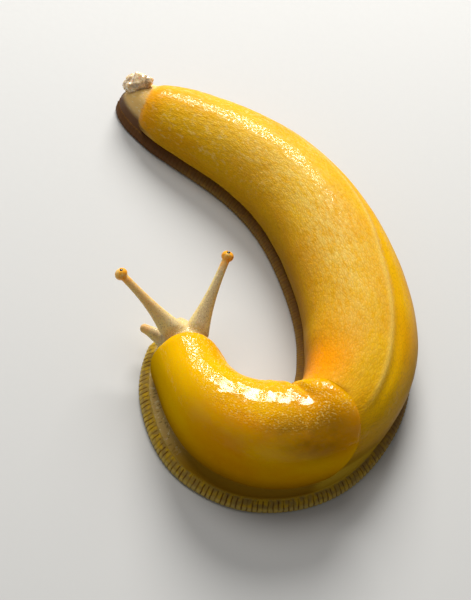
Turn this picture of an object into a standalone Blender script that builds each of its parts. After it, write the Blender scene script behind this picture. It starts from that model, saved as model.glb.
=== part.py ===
"""A life-size banana slug, curled into a C as it crawls, with both pairs of tentacles out.

The slug lies on the plane z = 0. Everything is placed from its midline, which runs along the
ground from the tail tip to the face and turns to the slug's right. Distances along it, called
stations, are measured from the tail tip. At each station the body has a cross-section, and
neighbouring cross-sections are joined into solids. A place on the back is given by its station
and an angle: 0 degrees at the widest part of the left flank, 90 on top, 180 on the right flank.
"""

import math

import bmesh
import bpy
from mathutils import Matrix, Vector

MM = 0.001
GAP = 0.3 * MM

# The midline: where the tail tip lies, which way it points, and how fast the body turns to the
# right, in degrees for each millimetre, at stations in millimetres.
TAIL_TIP = Vector((-40.3 * MM, 44.9 * MM, 0.0))
TAIL_HEADING = math.radians(-11.0)
BODY_LENGTH = 168.0 * MM
MIDLINE_STEPS = 336
TURN_RATE = {
    0: 0.05, 20: 0.3, 45: 1.25, 70: 0.65, 92: 1.35, 108: 2.05,
    120: 3.15, 132: 3.75, 144: 3.0, 156: 1.25, 168: -0.3,
}

# Sizes of the cross-section in millimetres, at stations in millimetres.
FOOT_HALF_WIDTH = {
    0: 1.4, 1.5: 3.4, 3.5: 5.0, 6: 6.4, 15: 9.3, 30: 11.0, 50: 12.2, 75: 12.8, 92: 12.8,
    100: 12.4, 112: 11.8, 120: 12.0, 130: 12.1, 138: 11.2, 150: 8.1, 160: 6.5, 168: 4.6,
}
FOOT_LEFT_FLARE = {108: 0.0, 124: 0.3, 134: 1.1, 142: 2.0, 152: 2.4, 160: 1.5, 168: 0.0}
BACK_HEIGHT = {
    0: 8.0, 8: 10.0, 20: 12.5, 40: 15.0, 70: 17.0, 100: 17.6,
    112: 17.2, 118: 16.6, 132: 16.3, 145: 14.6, 155: 12.0, 168: 9.8,
}
LEFT_INSET = {0: 0.6, 90: 0.5, 108: 1.4, 122: 3.6, 140: 3.4, 152: 2.6, 160: 1.5, 168: 0.6}
RIGHT_INSET = {0: 0.6, 90: 0.5, 112: 1.6, 130: 1.6, 150: 1.4, 160: 0.9, 168: 0.6}
ROUNDNESS = {0: 1.9, 10: 1.75, 40: 1.85, 90: 2.1, 130: 2.2, 168: 2.1}
BULGE_SHARE = 0.42
BACK_ANGLES = [-90, -62, -40, -20] + [11.25 * i for i in range(17)] + [200, 220, 242, 270]

# The foot: a flat sole with a grooved fringe round its edge.
FOOT_THICKNESS = 2.5 * MM
FRINGE_WIDTH = 2.0 * MM
FRINGE_LIP = 0.6 * MM
SOLE_INSET = 0.7 * MM
GROOVE_PITCH = 2.0 * MM
GROOVE_DEPTH = 0.35 * MM
FOOT_END = 166.6 * MM
FOOT_NOSE = 3.0 * MM

# Where the body and the foot are divided.
TAIL_START = 5.6 * MM
TAIL_ROUNDING = 4.0 * MM
HIND_START = 38.0 * MM
MIDDLE_START = 74.0 * MM
FRONT_START = 106.0 * MM
NECK_START = 129.0 * MM
HEAD_START = 152.0 * MM
RING_SPACING = 3.0 * MM
ROUND_END_SHARES = (0.22, 0.45, 0.66, 0.82, 0.93, 0.985)

# The head and its mouth, a slit between two lips.
FACE_ROUNDING = 6.5 * MM
ROUNDING_HEIGHT = 6.0 * MM
LIP_RADIUS = 1.6 * MM
LIP_SPREAD = 1.2 * MM
LIP_STATION = 166.6 * MM
LIP_HEIGHT = 4.5 * MM
MOUTH_WIDTH = 0.5 * MM
MOUTH_DEPTH = 1.3 * MM
MOUTH_HEIGHT = 3.4 * MM

# The mantle, a thick flap over the front of the back: the angles of its left and right edges.
MANTLE_LEFT_EDGE = {
    112.4: 92, 113.2: 80, 115.2: 45, 117.5: 17, 121: -9, 126: -24,
    140: -26, 150: -34, 154.5: -32, 157.2: -6, 158.5: 40, 159.8: 68, 160.6: 92,
}
MANTLE_RIGHT_EDGE = {
    112.4: 98, 113.0: 113, 115: 124, 118: 138, 121: 158, 126: 186,
    135: 200, 150: 200, 154: 188, 157: 160, 159: 130, 160: 116, 160.6: 98,
}
MANTLE_THICKNESS = 2.2 * MM
MANTLE_EDGE_SHARE = 0.25
MANTLE_END_ROUNDING = 3.0 * MM
MANTLE_RINGS = 30
MANTLE_POINTS = 16
BREATHING_PORE = {"station": 119.5 * MM, "angle": 150, "radii": Vector((0.4, 1.5, 2.0)) * MM}

# The tentacles, as (station, left, height) of the root and the tip, and their radii.
UPPER_LEFT = {
    "root": (162.3, 2.5, 9.4), "tip": (171.6, 14.8, 18.0), "bow": 0.5,
    "radii": (2.0, 0.68, 1.42), "slimming": 2.6,
}
UPPER_RIGHT = {
    "root": (162.9, -2.8, 9.2), "tip": (177.2, -9.5, 18.0), "bow": 0.6,
    "radii": (2.1, 0.76, 1.36), "slimming": 2.0,
}
LOWER_LEFT = {
    "root": (162.6, 4.0, 5.6), "tip": (165.6, 8.5, 5.4), "bow": 0.3,
    "radii": (1.4, 0.8, 0.9), "slimming": 1.5,
}
LOWER_RIGHT = {
    "root": (164.0, -2.9, 5.4), "tip": (168.4, -5.2, 4.9), "bow": 0.3,
    "radii": (1.4, 0.8, 0.9), "slimming": 1.5,
}
TENTACLE_SIDES = 12
STALK_RINGS = 9
KNOB_LENGTH = 1.9
KNOB_SHARES = (0.82, 0.64, 0.46, 0.3, 0.16, 0.06, 0.0)
EYE_RADIUS = 0.45 * MM
EYE_GAP = 0.2 * MM
EYE_OUT = 1.1 * MM

# The caudal pit at the tail's end, the soft lobe behind it, and the slime that plugs it.
TIP_START = 0.5 * MM
TIP_HEIGHT = 6.4 * MM
TIP_INSET = 1.3 * MM
PLUG_BALLS = [
    ((4.3, 1.5, 8.5), (2.0, 1.8, 1.9)),
    ((2.4, 2.4, 7.1), (1.7, 1.3, 1.2)),
    ((5.7, 2.6, 9.1), (1.5, 1.2, 1.1)),
]


def smooth_value(table, millimetres):
    """Monotone cubic through a table of {station: value}, flat beyond both ends."""
    places = sorted(table)
    if millimetres <= places[0]:
        return table[places[0]]
    if millimetres >= places[-1]:
        return table[places[-1]]
    slopes = [(table[b] - table[a]) / (b - a) for a, b in zip(places, places[1:])]
    tangents = [slopes[0]]
    for before, after in zip(slopes, slopes[1:]):
        same_way = before * after > 0
        tangents.append(2 * before * after / (before + after) if same_way else 0.0)
    tangents.append(slopes[-1])
    k = max(i for i, station in enumerate(places[:-1]) if station <= millimetres)
    width = places[k + 1] - places[k]
    t = (millimetres - places[k]) / width
    start, end = table[places[k]], table[places[k + 1]]
    return (
        start * (2 * t**3 - 3 * t**2 + 1)
        + tangents[k] * width * (t**3 - 2 * t**2 + t)
        + end * (3 * t**2 - 2 * t**3)
        + tangents[k + 1] * width * (t**3 - t**2)
    )


def size_at(table, station):
    """A size in metres from a table in millimetres, at a station in metres."""
    return smooth_value(table, station / MM) * MM


def midline():
    """Points and headings every half millimetre from the tail tip to the face."""
    step = BODY_LENGTH / MIDLINE_STEPS
    point, heading = TAIL_TIP.copy(), TAIL_HEADING
    line = [(point.copy(), heading)]
    for i in range(MIDLINE_STEPS):
        rate = smooth_value(TURN_RATE, (i + 0.5) * step / MM)
        turned = heading - math.radians(rate * step / MM)
        middle = (heading + turned) / 2
        point = point + Vector((math.cos(middle), math.sin(middle), 0.0)) * step
        heading = turned
        line.append((point.copy(), heading))
    return line


MIDLINE = midline()


def heading_at(station):
    """The direction of the midline at a station, in radians."""
    share = min(max(station / BODY_LENGTH, 0.0), 1.0) * MIDLINE_STEPS
    i = min(int(share), MIDLINE_STEPS - 1)
    return MIDLINE[i][1] + (MIDLINE[i + 1][1] - MIDLINE[i][1]) * (share - i)


def place(station, left, height):
    """The point at a station, offset to the slug's left and raised above the ground."""
    on_line = min(max(station, 0.0), BODY_LENGTH)
    share = on_line / BODY_LENGTH * MIDLINE_STEPS
    i = min(int(share), MIDLINE_STEPS - 1)
    angle = heading_at(station)
    forward = Vector((math.cos(angle), math.sin(angle), 0.0))
    across = Vector((-math.sin(angle), math.cos(angle), 0.0))
    point = MIDLINE[i][0].lerp(MIDLINE[i + 1][0], share - i)
    return point + forward * (station - on_line) + across * left + Vector((0.0, 0.0, height))


def back_point(station, degrees, grow=0.0):
    """The left offset and the height of a place on the flank or back, moved out by grow."""
    foot = size_at(FOOT_HALF_WIDTH, station)
    height = size_at(BACK_HEIGHT, station)
    left_side = degrees <= 90
    half = foot - size_at(LEFT_INSET if left_side else RIGHT_INSET, station) + grow
    flare = size_at(FOOT_LEFT_FLARE, station) if left_side else 0.0
    base = foot + flare - FRINGE_WIDTH + grow
    bulge = BULGE_SHARE * height
    power = 2 / smooth_value(ROUNDNESS, station / MM)
    rising, across = math.sin(math.radians(degrees)), abs(math.cos(math.radians(degrees)))
    if rising >= 0:
        offset = half * across**power
        level = bulge + (height + grow - bulge) * rising**power
    else:
        offset = base + (half - base) * across
        level = bulge + (bulge - FOOT_THICKNESS - GAP) * rising
    return (offset if left_side else -offset), level


def round_shrink(distance, rounding):
    """How much a cross-section is shrunk at this distance into a rounded end."""
    if distance <= 0:
        return 1.0
    return math.sqrt(max(0.0, 1 - (distance / rounding) ** 2))


def back_ring(station, start, end, tail_rounding=0.0, face_rounding=0.0, grow=0.0):
    """One closed cross-section of the body above the foot, shrunk towards a rounded end."""
    shrink = 1.0
    if tail_rounding:
        shrink *= round_shrink(start + tail_rounding - station, tail_rounding)
    if face_rounding:
        shrink *= round_shrink(station - end + face_rounding, face_rounding)
    ring = []
    for degrees in BACK_ANGLES:
        offset, height = back_point(station, degrees, grow)
        height = height - grow if degrees in (BACK_ANGLES[0], BACK_ANGLES[-1]) else height
        raised = ROUNDING_HEIGHT + (height - ROUNDING_HEIGHT) * shrink
        ring.append(place(station, offset * shrink, raised))
    return ring


def ring_stations(start, end, tail_rounding=0.0, face_rounding=0.0):
    """Stations for the rings, closer together where an end is rounded."""
    low, high = start + tail_rounding, end - face_rounding
    count = max(1, round((high - low) / RING_SPACING))
    found = [low + (high - low) * i / count for i in range(count + 1)]
    if tail_rounding:
        found = [low - tail_rounding * t for t in reversed(ROUND_END_SHARES)] + found
    if face_rounding:
        found = found + [high + face_rounding * t for t in ROUND_END_SHARES]
    return found


def material(name, colour, roughness):
    """A plain skin of one colour."""
    made = bpy.data.materials.new(name)
    made.use_nodes = True
    shader = made.node_tree.nodes["Principled BSDF"]
    shader.inputs["Base Color"].default_value = (*colour, 1.0)
    shader.inputs["Roughness"].default_value = roughness
    return made


def object_of(name, shape, finish=None):
    """An object with the shape, triangulated and shaded smooth, and the finish."""
    bmesh.ops.triangulate(shape, faces=shape.faces)
    mesh = bpy.data.meshes.new(name)
    shape.to_mesh(mesh)
    shape.free()
    mesh.shade_smooth()
    mesh.set_sharp_from_angle(angle=math.radians(50))
    made = bpy.data.objects.new(name, mesh)
    bpy.context.scene.collection.objects.link(made)
    if finish:
        mesh.materials.append(finish)
    return made


def loft(name, rings, finish=None):
    """A closed solid through rings of equal counts: a grid bent round them, with filled ends."""
    shape = bmesh.new()
    around = len(rings[0])
    bmesh.ops.create_grid(shape, x_segments=around, y_segments=len(rings) - 1, size=1.0)
    shape.verts.ensure_lookup_table()
    for row, ring in enumerate(rings):
        for column in range(around + 1):
            shape.verts[row * (around + 1) + column].co = ring[column % around]
    bmesh.ops.remove_doubles(shape, verts=shape.verts, dist=0.001 * MM)
    ends = [edge for edge in shape.edges if edge.is_boundary]
    bmesh.ops.holes_fill(shape, edges=ends, sides=0)
    bmesh.ops.recalc_face_normals(shape, faces=shape.faces)
    return object_of(name, shape, finish)


def ball(name, centre, radii, turn=0.0, finish=None, segments=14):
    """A ball stretched to three radii and turned about the vertical."""
    shape = bmesh.new()
    bmesh.ops.create_uvsphere(
        shape,
        u_segments=segments,
        v_segments=segments * 2 // 3,
        radius=1.0,
        matrix=Matrix.LocRotScale(centre, Matrix.Rotation(turn, 3, "Z"), Vector(radii)),
    )
    return object_of(name, shape, finish)


def box(name, centre, sizes, turn):
    """A box turned about the vertical."""
    shape = bmesh.new()
    bmesh.ops.create_cube(
        shape,
        size=1.0,
        matrix=Matrix.LocRotScale(centre, Matrix.Rotation(turn, 3, "Z"), Vector(sizes)),
    )
    return object_of(name, shape)


def boolean(target, other, operation):
    """Applies a Boolean with another object to the target, and removes the other."""
    modifier = target.modifiers.new(operation.title(), "BOOLEAN")
    modifier.operation = operation
    modifier.object = other
    graph = bpy.context.evaluated_depsgraph_get()
    target.data = bpy.data.meshes.new_from_object(target.evaluated_get(graph))
    target.modifiers.clear()
    bpy.data.objects.remove(other)


def keep_largest(target):
    """Drops every loose shell of the object but the largest."""
    shape = bmesh.new()
    shape.from_mesh(target.data)
    left, shells = set(shape.verts), []
    while left:
        shell, rim = set(), {left.pop()}
        while rim:
            shell |= rim
            rim = {edge.other_vert(vertex) for vertex in rim for edge in vertex.link_edges} - shell
        left -= shell
        shells.append(shell)
    shells.sort(key=len)
    scraps = [vertex for shell in shells[:-1] for vertex in shell]
    bmesh.ops.delete(shape, geom=scraps, context="VERTS")
    shape.to_mesh(target.data)
    shape.free()


def body_length(name, start, end, finish=None, tail_rounding=0.0, face_rounding=0.0, grow=0.0):
    """A length of the body above the foot, with flat or rounded ends."""
    rings = [
        back_ring(station, start, end, tail_rounding, face_rounding, grow)
        for station in ring_stations(start, end, tail_rounding, face_rounding)
    ]
    return loft(name, rings, finish)


def foot_ring(station, in_groove):
    """One cross-section of the foot, drawn in a little where a groove crosses the fringe."""
    shrink = round_shrink(station - FOOT_END + FOOT_NOSE, FOOT_NOSE)
    left = (size_at(FOOT_HALF_WIDTH, station) + size_at(FOOT_LEFT_FLARE, station)) * shrink
    right = size_at(FOOT_HALF_WIDTH, station) * shrink
    outline = []
    for side, half in ((1, left), (-1, right)):
        edge = half - (GROOVE_DEPTH * shrink if in_groove else 0.0)
        top = max(half - FRINGE_WIDTH + GAP, 0.2 * half)
        profile = [
            (max(half - SOLE_INSET, 0.4 * half), 0.0),
            (edge, FRINGE_LIP),
            ((edge + top) / 2, 0.72 * FOOT_THICKNESS),
            (top, FOOT_THICKNESS),
        ]
        outline += [(side * across, up) for across, up in (profile if side > 0 else profile[::-1])]
    return [place(station, across, up) for across, up in outline]


def foot_length(name, start, end, finish):
    """A length of the foot, with a ring at each ridge and each groove of the fringe."""
    count = max(2, round((end - start) / (GROOVE_PITCH / 2)))
    rings = [foot_ring(start + (end - start) * i / count, i % 2 == 1) for i in range(count + 1)]
    return loft(name, rings, finish)


def mantle_ring(station, start, end, grow=0.0):
    """A cross-section of the mantle: over its rounded outer face, and back along the body."""
    left = smooth_value(MANTLE_LEFT_EDGE, station / MM)
    right = smooth_value(MANTLE_RIGHT_EDGE, station / MM)
    into = min(station - start, end - station) / MANTLE_END_ROUNDING
    lengthwise = math.sqrt(1 - (1 - min(max(into, 0.02), 1.0)) ** 2)
    outer, inner = [], []
    for i in range(MANTLE_POINTS + 1):
        t = -math.cos(math.pi * i / MANTLE_POINTS)
        degrees = left + (right - left) * (1 + t) / 2
        crosswise = math.sqrt(max(0.0, 1 - abs(t) ** 5))
        fullness = MANTLE_EDGE_SHARE + (1 - MANTLE_EDGE_SHARE) * crosswise * lengthwise
        out = GAP + MANTLE_THICKNESS * fullness + grow
        outer.append(place(station, *back_point(station, degrees, out)))
        inner.append(place(station, *back_point(station, degrees, GAP - grow)))
    return outer + inner[::-1]


def mantle_solid(name, finish=None, grow=0.0):
    """The mantle without its breathing pore."""
    start, end = min(MANTLE_LEFT_EDGE) * MM, max(MANTLE_LEFT_EDGE) * MM
    rings = []
    for i in range(MANTLE_RINGS + 1):
        eased = (1 - math.cos(math.pi * i / MANTLE_RINGS)) / 2
        station = start - grow + (end - start + 2 * grow) * eased
        rings.append(mantle_ring(station, start, end, grow))
    return loft(name, rings, finish)


def mantle(finish):
    """The mantle, with the cleft of the breathing pore in its right edge."""
    made = mantle_solid("mantle", finish)
    station = BREATHING_PORE["station"]
    centre = place(
        station, *back_point(station, BREATHING_PORE["angle"], GAP + MANTLE_THICKNESS)
    )
    cleft = ball("cleft", centre, BREATHING_PORE["radii"], heading_at(station))
    boolean(made, cleft, "DIFFERENCE")
    keep_largest(made)
    return made


def point_of(station_left_height):
    """The point at a (station, left, height) in millimetres."""
    return place(*(value * MM for value in station_left_height))


def tentacle_centre(plan, share):
    """A point of the tentacle's axis, a shallow arc from its root to its tip."""
    bow = Vector((0.0, 0.0, plan["bow"] * MM)) * math.sin(math.pi * share)
    return point_of(plan["root"]).lerp(point_of(plan["tip"]), share) + bow


def tentacle_frame(plan, share):
    """The sideways and upward directions across the tentacle's axis."""
    behind, ahead = max(share - 0.05, 0.0), min(share + 0.05, 1.0)
    along = (tentacle_centre(plan, ahead) - tentacle_centre(plan, behind)).normalized()
    side = along.cross(Vector((0.0, 0.0, 1.0))).normalized()
    return along, side, side.cross(along)


def tentacle_radius(plan, share, knob_share):
    """The radius along the tentacle: a flared root, a slim stalk and a round knob."""
    root, stalk, knob = (radius * MM for radius in plan["radii"])
    slim = stalk + (root - stalk) * (1 - share) ** plan["slimming"]
    from_tip = (1 - share) / knob_share
    if from_tip >= 1:
        return slim
    round_knob = knob * math.sqrt(max(0.03, 1 - (1 - 2 * from_tip) ** 2))
    return max(round_knob, slim) if from_tip > 0.5 else round_knob


def tentacle(name, plan, finish):
    """A tapered stalk with a knob at its tip."""
    length = (point_of(plan["tip"]) - point_of(plan["root"])).length
    knob_share = KNOB_LENGTH * plan["radii"][2] * MM / length
    shares = [(1 - knob_share) * i / (STALK_RINGS - 1) for i in range(STALK_RINGS)]
    shares += [1 - knob_share * t for t in KNOB_SHARES]
    rings = []
    for share in shares:
        _, side, up = tentacle_frame(plan, share)
        radius = tentacle_radius(plan, share, knob_share)
        angles = (math.tau * j / TENTACLE_SIDES for j in range(TENTACLE_SIDES))
        centre = tentacle_centre(plan, share)
        rings.append([centre + (side * math.cos(a) + up * math.sin(a)) * radius for a in angles])
    return loft(name, rings, finish)


def eye(name, plan, stalk, finish):
    """An eye on the upper front of the knob, in a socket that leaves room all round it."""
    along, _, up = tentacle_frame(plan, 1.0)
    knob = plan["radii"][2] * MM
    centre = tentacle_centre(plan, 1.0) - along * knob
    centre += (along * 0.6 + up * 0.8) * EYE_OUT
    boolean(stalk, ball("socket", centre, [EYE_RADIUS + EYE_GAP] * 3, segments=12), "DIFFERENCE")
    keep_largest(stalk)
    return ball(name, centre, [EYE_RADIUS] * 3, finish=finish, segments=12)


def head(finish):
    """The head, with two lips and the slit of the mouth between them."""
    start, end = HEAD_START + GAP / 2, BODY_LENGTH
    made = body_length("head", start, end, finish, face_rounding=FACE_ROUNDING)
    for side in (1, -1):
        centre = place(LIP_STATION, side * LIP_SPREAD, LIP_HEIGHT)
        boolean(made, ball("lip", centre, [LIP_RADIUS] * 3), "UNION")
    slit_centre = place(LIP_STATION + LIP_RADIUS, 0.0, LIP_HEIGHT)
    slit_sizes = (2 * MOUTH_DEPTH, MOUTH_WIDTH, MOUTH_HEIGHT)
    boolean(made, box("slit", slit_centre, slit_sizes, heading_at(BODY_LENGTH)), "DIFFERENCE")
    keep_largest(made)
    return made


def grown_head():
    """The head and the neck below it, grown by the gap, as a cutter."""
    return body_length(
        "head_cutter",
        NECK_START,
        BODY_LENGTH + GAP,
        face_rounding=FACE_ROUNDING + GAP,
        grow=GAP,
    )


def grown_tail():
    """The tail grown by the gap, as a cutter."""
    return body_length(
        "tail_cutter",
        TAIL_START - GAP,
        HIND_START,
        tail_rounding=TAIL_ROUNDING,
        grow=GAP,
    )


def tail_tip(name, finish=None, grow=0.0):
    """The soft lobe of the tail behind the caudal pit, a low dome on the foot."""
    end = TAIL_START + TAIL_ROUNDING / 2
    floor = FOOT_THICKNESS + GAP - grow
    rings = []
    for t in (0.0, 0.08, 0.2, 0.4, 0.6, 0.8, 1.0):
        station = TIP_START - grow + (end - TIP_START + grow) * t
        half = size_at(FOOT_HALF_WIDTH, station) - TIP_INSET + grow
        rise = (TIP_HEIGHT - floor) * math.sin(math.pi / 2 * min(1.0, 0.3 + t)) + grow
        angles = (math.pi * i / 10 for i in range(11))
        rings.append(
            [place(station, half * math.cos(a), floor + rise * math.sin(a) ** 0.8) for a in angles]
        )
    return loft(name, rings, finish)


def caudal_plug(finish):
    """A knobbly plug of slime over the caudal pit, resting on the tail and the lobe."""
    turn = TAIL_HEADING
    balls = [
        ball("plug_ball", point_of(centre), [radius * MM for radius in radii], turn, finish, 12)
        for centre, radii in PLUG_BALLS
    ]
    plug = balls[0]
    plug.name = "caudal_plug"
    for other in balls[1:]:
        boolean(plug, other, "UNION")
    boolean(plug, grown_tail(), "DIFFERENCE")
    boolean(plug, tail_tip("lobe_cutter", grow=GAP), "DIFFERENCE")
    keep_largest(plug)
    return plug


def build():
    """All the nodes of the slug."""
    for old in list(bpy.data.objects):
        bpy.data.objects.remove(old)
    yellow = material("banana_yellow_skin", (0.80, 0.47, 0.03), 0.3)
    golden = material("mantle_golden_skin", (0.82, 0.42, 0.02), 0.25)
    fringe = material("foot_fringe_olive", (0.42, 0.28, 0.08), 0.35)
    beige = material("head_beige_skin", (0.70, 0.50, 0.28), 0.35)
    black = material("eye_black", (0.01, 0.01, 0.01), 0.1)
    slime = material("dried_slime", (0.45, 0.36, 0.28), 0.5)

    before, after = -GAP / 2, GAP / 2
    body_length("tail", TAIL_START, HIND_START + before, yellow, tail_rounding=TAIL_ROUNDING)
    body_length("torso_hind", HIND_START + after, MIDDLE_START + before, yellow)
    body_length("torso_middle", MIDDLE_START + after, FRONT_START + before, yellow)
    body_length("torso_front", FRONT_START + after, NECK_START + before, yellow)
    body_length("neck", NECK_START + after, HEAD_START + before, yellow)
    head(beige)
    mantle(golden)

    foot_length("foot_tail", 0.0, HIND_START + before, fringe)
    foot_length("foot_hind", HIND_START + after, MIDDLE_START + before, fringe)
    foot_length("foot_middle", MIDDLE_START + after, FRONT_START + before, fringe)
    foot_length("foot_front", FRONT_START + after, NECK_START + before, fringe)
    foot_length("foot_neck", NECK_START + after, HEAD_START + before, fringe)
    foot_length("foot_head", HEAD_START + after, FOOT_END - 0.05 * MM, fringe)

    for side, plan in (("left", UPPER_LEFT), ("right", UPPER_RIGHT)):
        stalk = tentacle(f"upper_tentacle_{side}", plan, beige)
        boolean(stalk, grown_head(), "DIFFERENCE")
        boolean(stalk, mantle_solid("mantle_cutter", grow=GAP), "DIFFERENCE")
        eye(f"eye_{side}", plan, stalk, black)
    for side, plan in (("left", LOWER_LEFT), ("right", LOWER_RIGHT)):
        stalk = tentacle(f"lower_tentacle_{side}", plan, beige)
        boolean(stalk, grown_head(), "DIFFERENCE")
        keep_largest(stalk)

    lobe = tail_tip("tail_tip", beige)
    boolean(lobe, grown_tail(), "DIFFERENCE")
    keep_largest(lobe)
    caudal_plug(slime)


if __name__ == "__main__":
    build()
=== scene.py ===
"""Dresses the banana slug: one skin over body, foot, mantle, head and tentacles, two eyes and a
plug of slime, under plain studio light.

Lengths are in millimetres while a piece is shaped, and its mesh is brought to metres at the end.
A place on the body is given by its station, the distance along the midline from the tail tip, and
by an angle round the cross-section: 0 at the widest part of the left flank, 90 on top, 180 on the
right flank. How far a place lies across the back is the length of its arc from the top, with the
left counted up and the right counted down.
"""

import logging
import math
from dataclasses import dataclass, field, fields
from enum import Enum

import bmesh
import bpy
from mathutils import Matrix, Vector, kdtree, noise


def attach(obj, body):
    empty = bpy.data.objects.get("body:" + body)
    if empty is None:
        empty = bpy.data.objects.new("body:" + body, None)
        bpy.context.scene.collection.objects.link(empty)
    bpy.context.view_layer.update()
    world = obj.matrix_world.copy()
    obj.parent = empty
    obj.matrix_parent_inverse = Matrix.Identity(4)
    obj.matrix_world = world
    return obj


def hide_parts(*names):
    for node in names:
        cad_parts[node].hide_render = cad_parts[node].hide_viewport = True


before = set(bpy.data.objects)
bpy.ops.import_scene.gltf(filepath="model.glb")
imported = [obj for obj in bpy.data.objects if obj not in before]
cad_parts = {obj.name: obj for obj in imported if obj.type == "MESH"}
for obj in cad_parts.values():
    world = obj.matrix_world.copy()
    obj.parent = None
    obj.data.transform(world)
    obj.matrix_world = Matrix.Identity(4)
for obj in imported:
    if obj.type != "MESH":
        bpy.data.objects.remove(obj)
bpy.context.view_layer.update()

MM = 0.001
TO_MM = (1000.0, 1000.0, 1000.0)
PLACE_LAYER = "body_place"
LOG = logging.getLogger("banana_slug")
UP = Vector((0.0, 0.0, 1.0))
# Lengths too small to matter, and the gap below which the points of a form are one.
TINY = 1e-6
NEAR = 0.01
SAME_POINT = 0.002
# Millimetres across the back for each radian round it, and across the mantle for each degree.
ROUND_RADIUS = 11.0
MM_A_DEGREE = 0.19
# How far out each round of softening goes, as shares of its reach.
SOFTENING_SHARES = (1.0, 0.7, 0.45, 0.2)


class Side(Enum):
    """The slug's own left or right."""

    LEFT = 1
    RIGHT = -1


def smooth_value(table: dict, place: float) -> float:
    """Monotone cubic through a table, flat beyond both of its ends.

    Args:
        table: values by station.
        place: the station to read.

    Returns:
        The value there.
    """
    places = sorted(table)
    if place <= places[0]:
        return table[places[0]]
    if place >= places[-1]:
        return table[places[-1]]
    slopes = [(table[b] - table[a]) / (b - a) for a, b in zip(places, places[1:])]
    tangents = [slopes[0]]
    for before, after in zip(slopes, slopes[1:]):
        same_way = before * after > 0
        tangents.append(2 * before * after / (before + after) if same_way else 0.0)
    tangents.append(slopes[-1])
    k = max(i for i, station in enumerate(places[:-1]) if station <= place)
    width = places[k + 1] - places[k]
    t = (place - places[k]) / width
    return (
        table[places[k]] * (2 * t**3 - 3 * t**2 + 1)
        + tangents[k] * width * (t**3 - 2 * t**2 + t)
        + table[places[k + 1]] * (3 * t**2 - 2 * t**3)
        + tangents[k + 1] * width * (t**3 - t**2)
    )


def ease(low: float, high: float, value: float) -> float:
    """Smooth step from 0 at low to 1 at high; low may be above high."""
    t = min(max((value - low) / (high - low), 0.0), 1.0)
    return t * t * (3 - 2 * t)


def hump(centre: float, width: float, value: float) -> float:
    """A bell of height 1 round a centre."""
    return math.exp(-(((value - centre) / width) ** 2))


@dataclass
class Curve:
    """A table of values by station, read from samples made once."""

    table: dict
    end: float = 170.0
    step: float = 0.25
    samples: list = field(default_factory=list)

    def __post_init__(self) -> None:
        """Samples the table."""
        count = int(self.end / self.step) + 2
        self.samples = [smooth_value(self.table, i * self.step) for i in range(count)]

    def at(self, station: float) -> float:
        """The value at a station.

        Args:
            station: the station.

        Returns:
            The value between the two nearest samples.
        """
        share = min(max(station, 0.0), self.end) / self.step
        i = int(share)
        return self.samples[i] + (self.samples[i + 1] - self.samples[i]) * (share - i)


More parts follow.
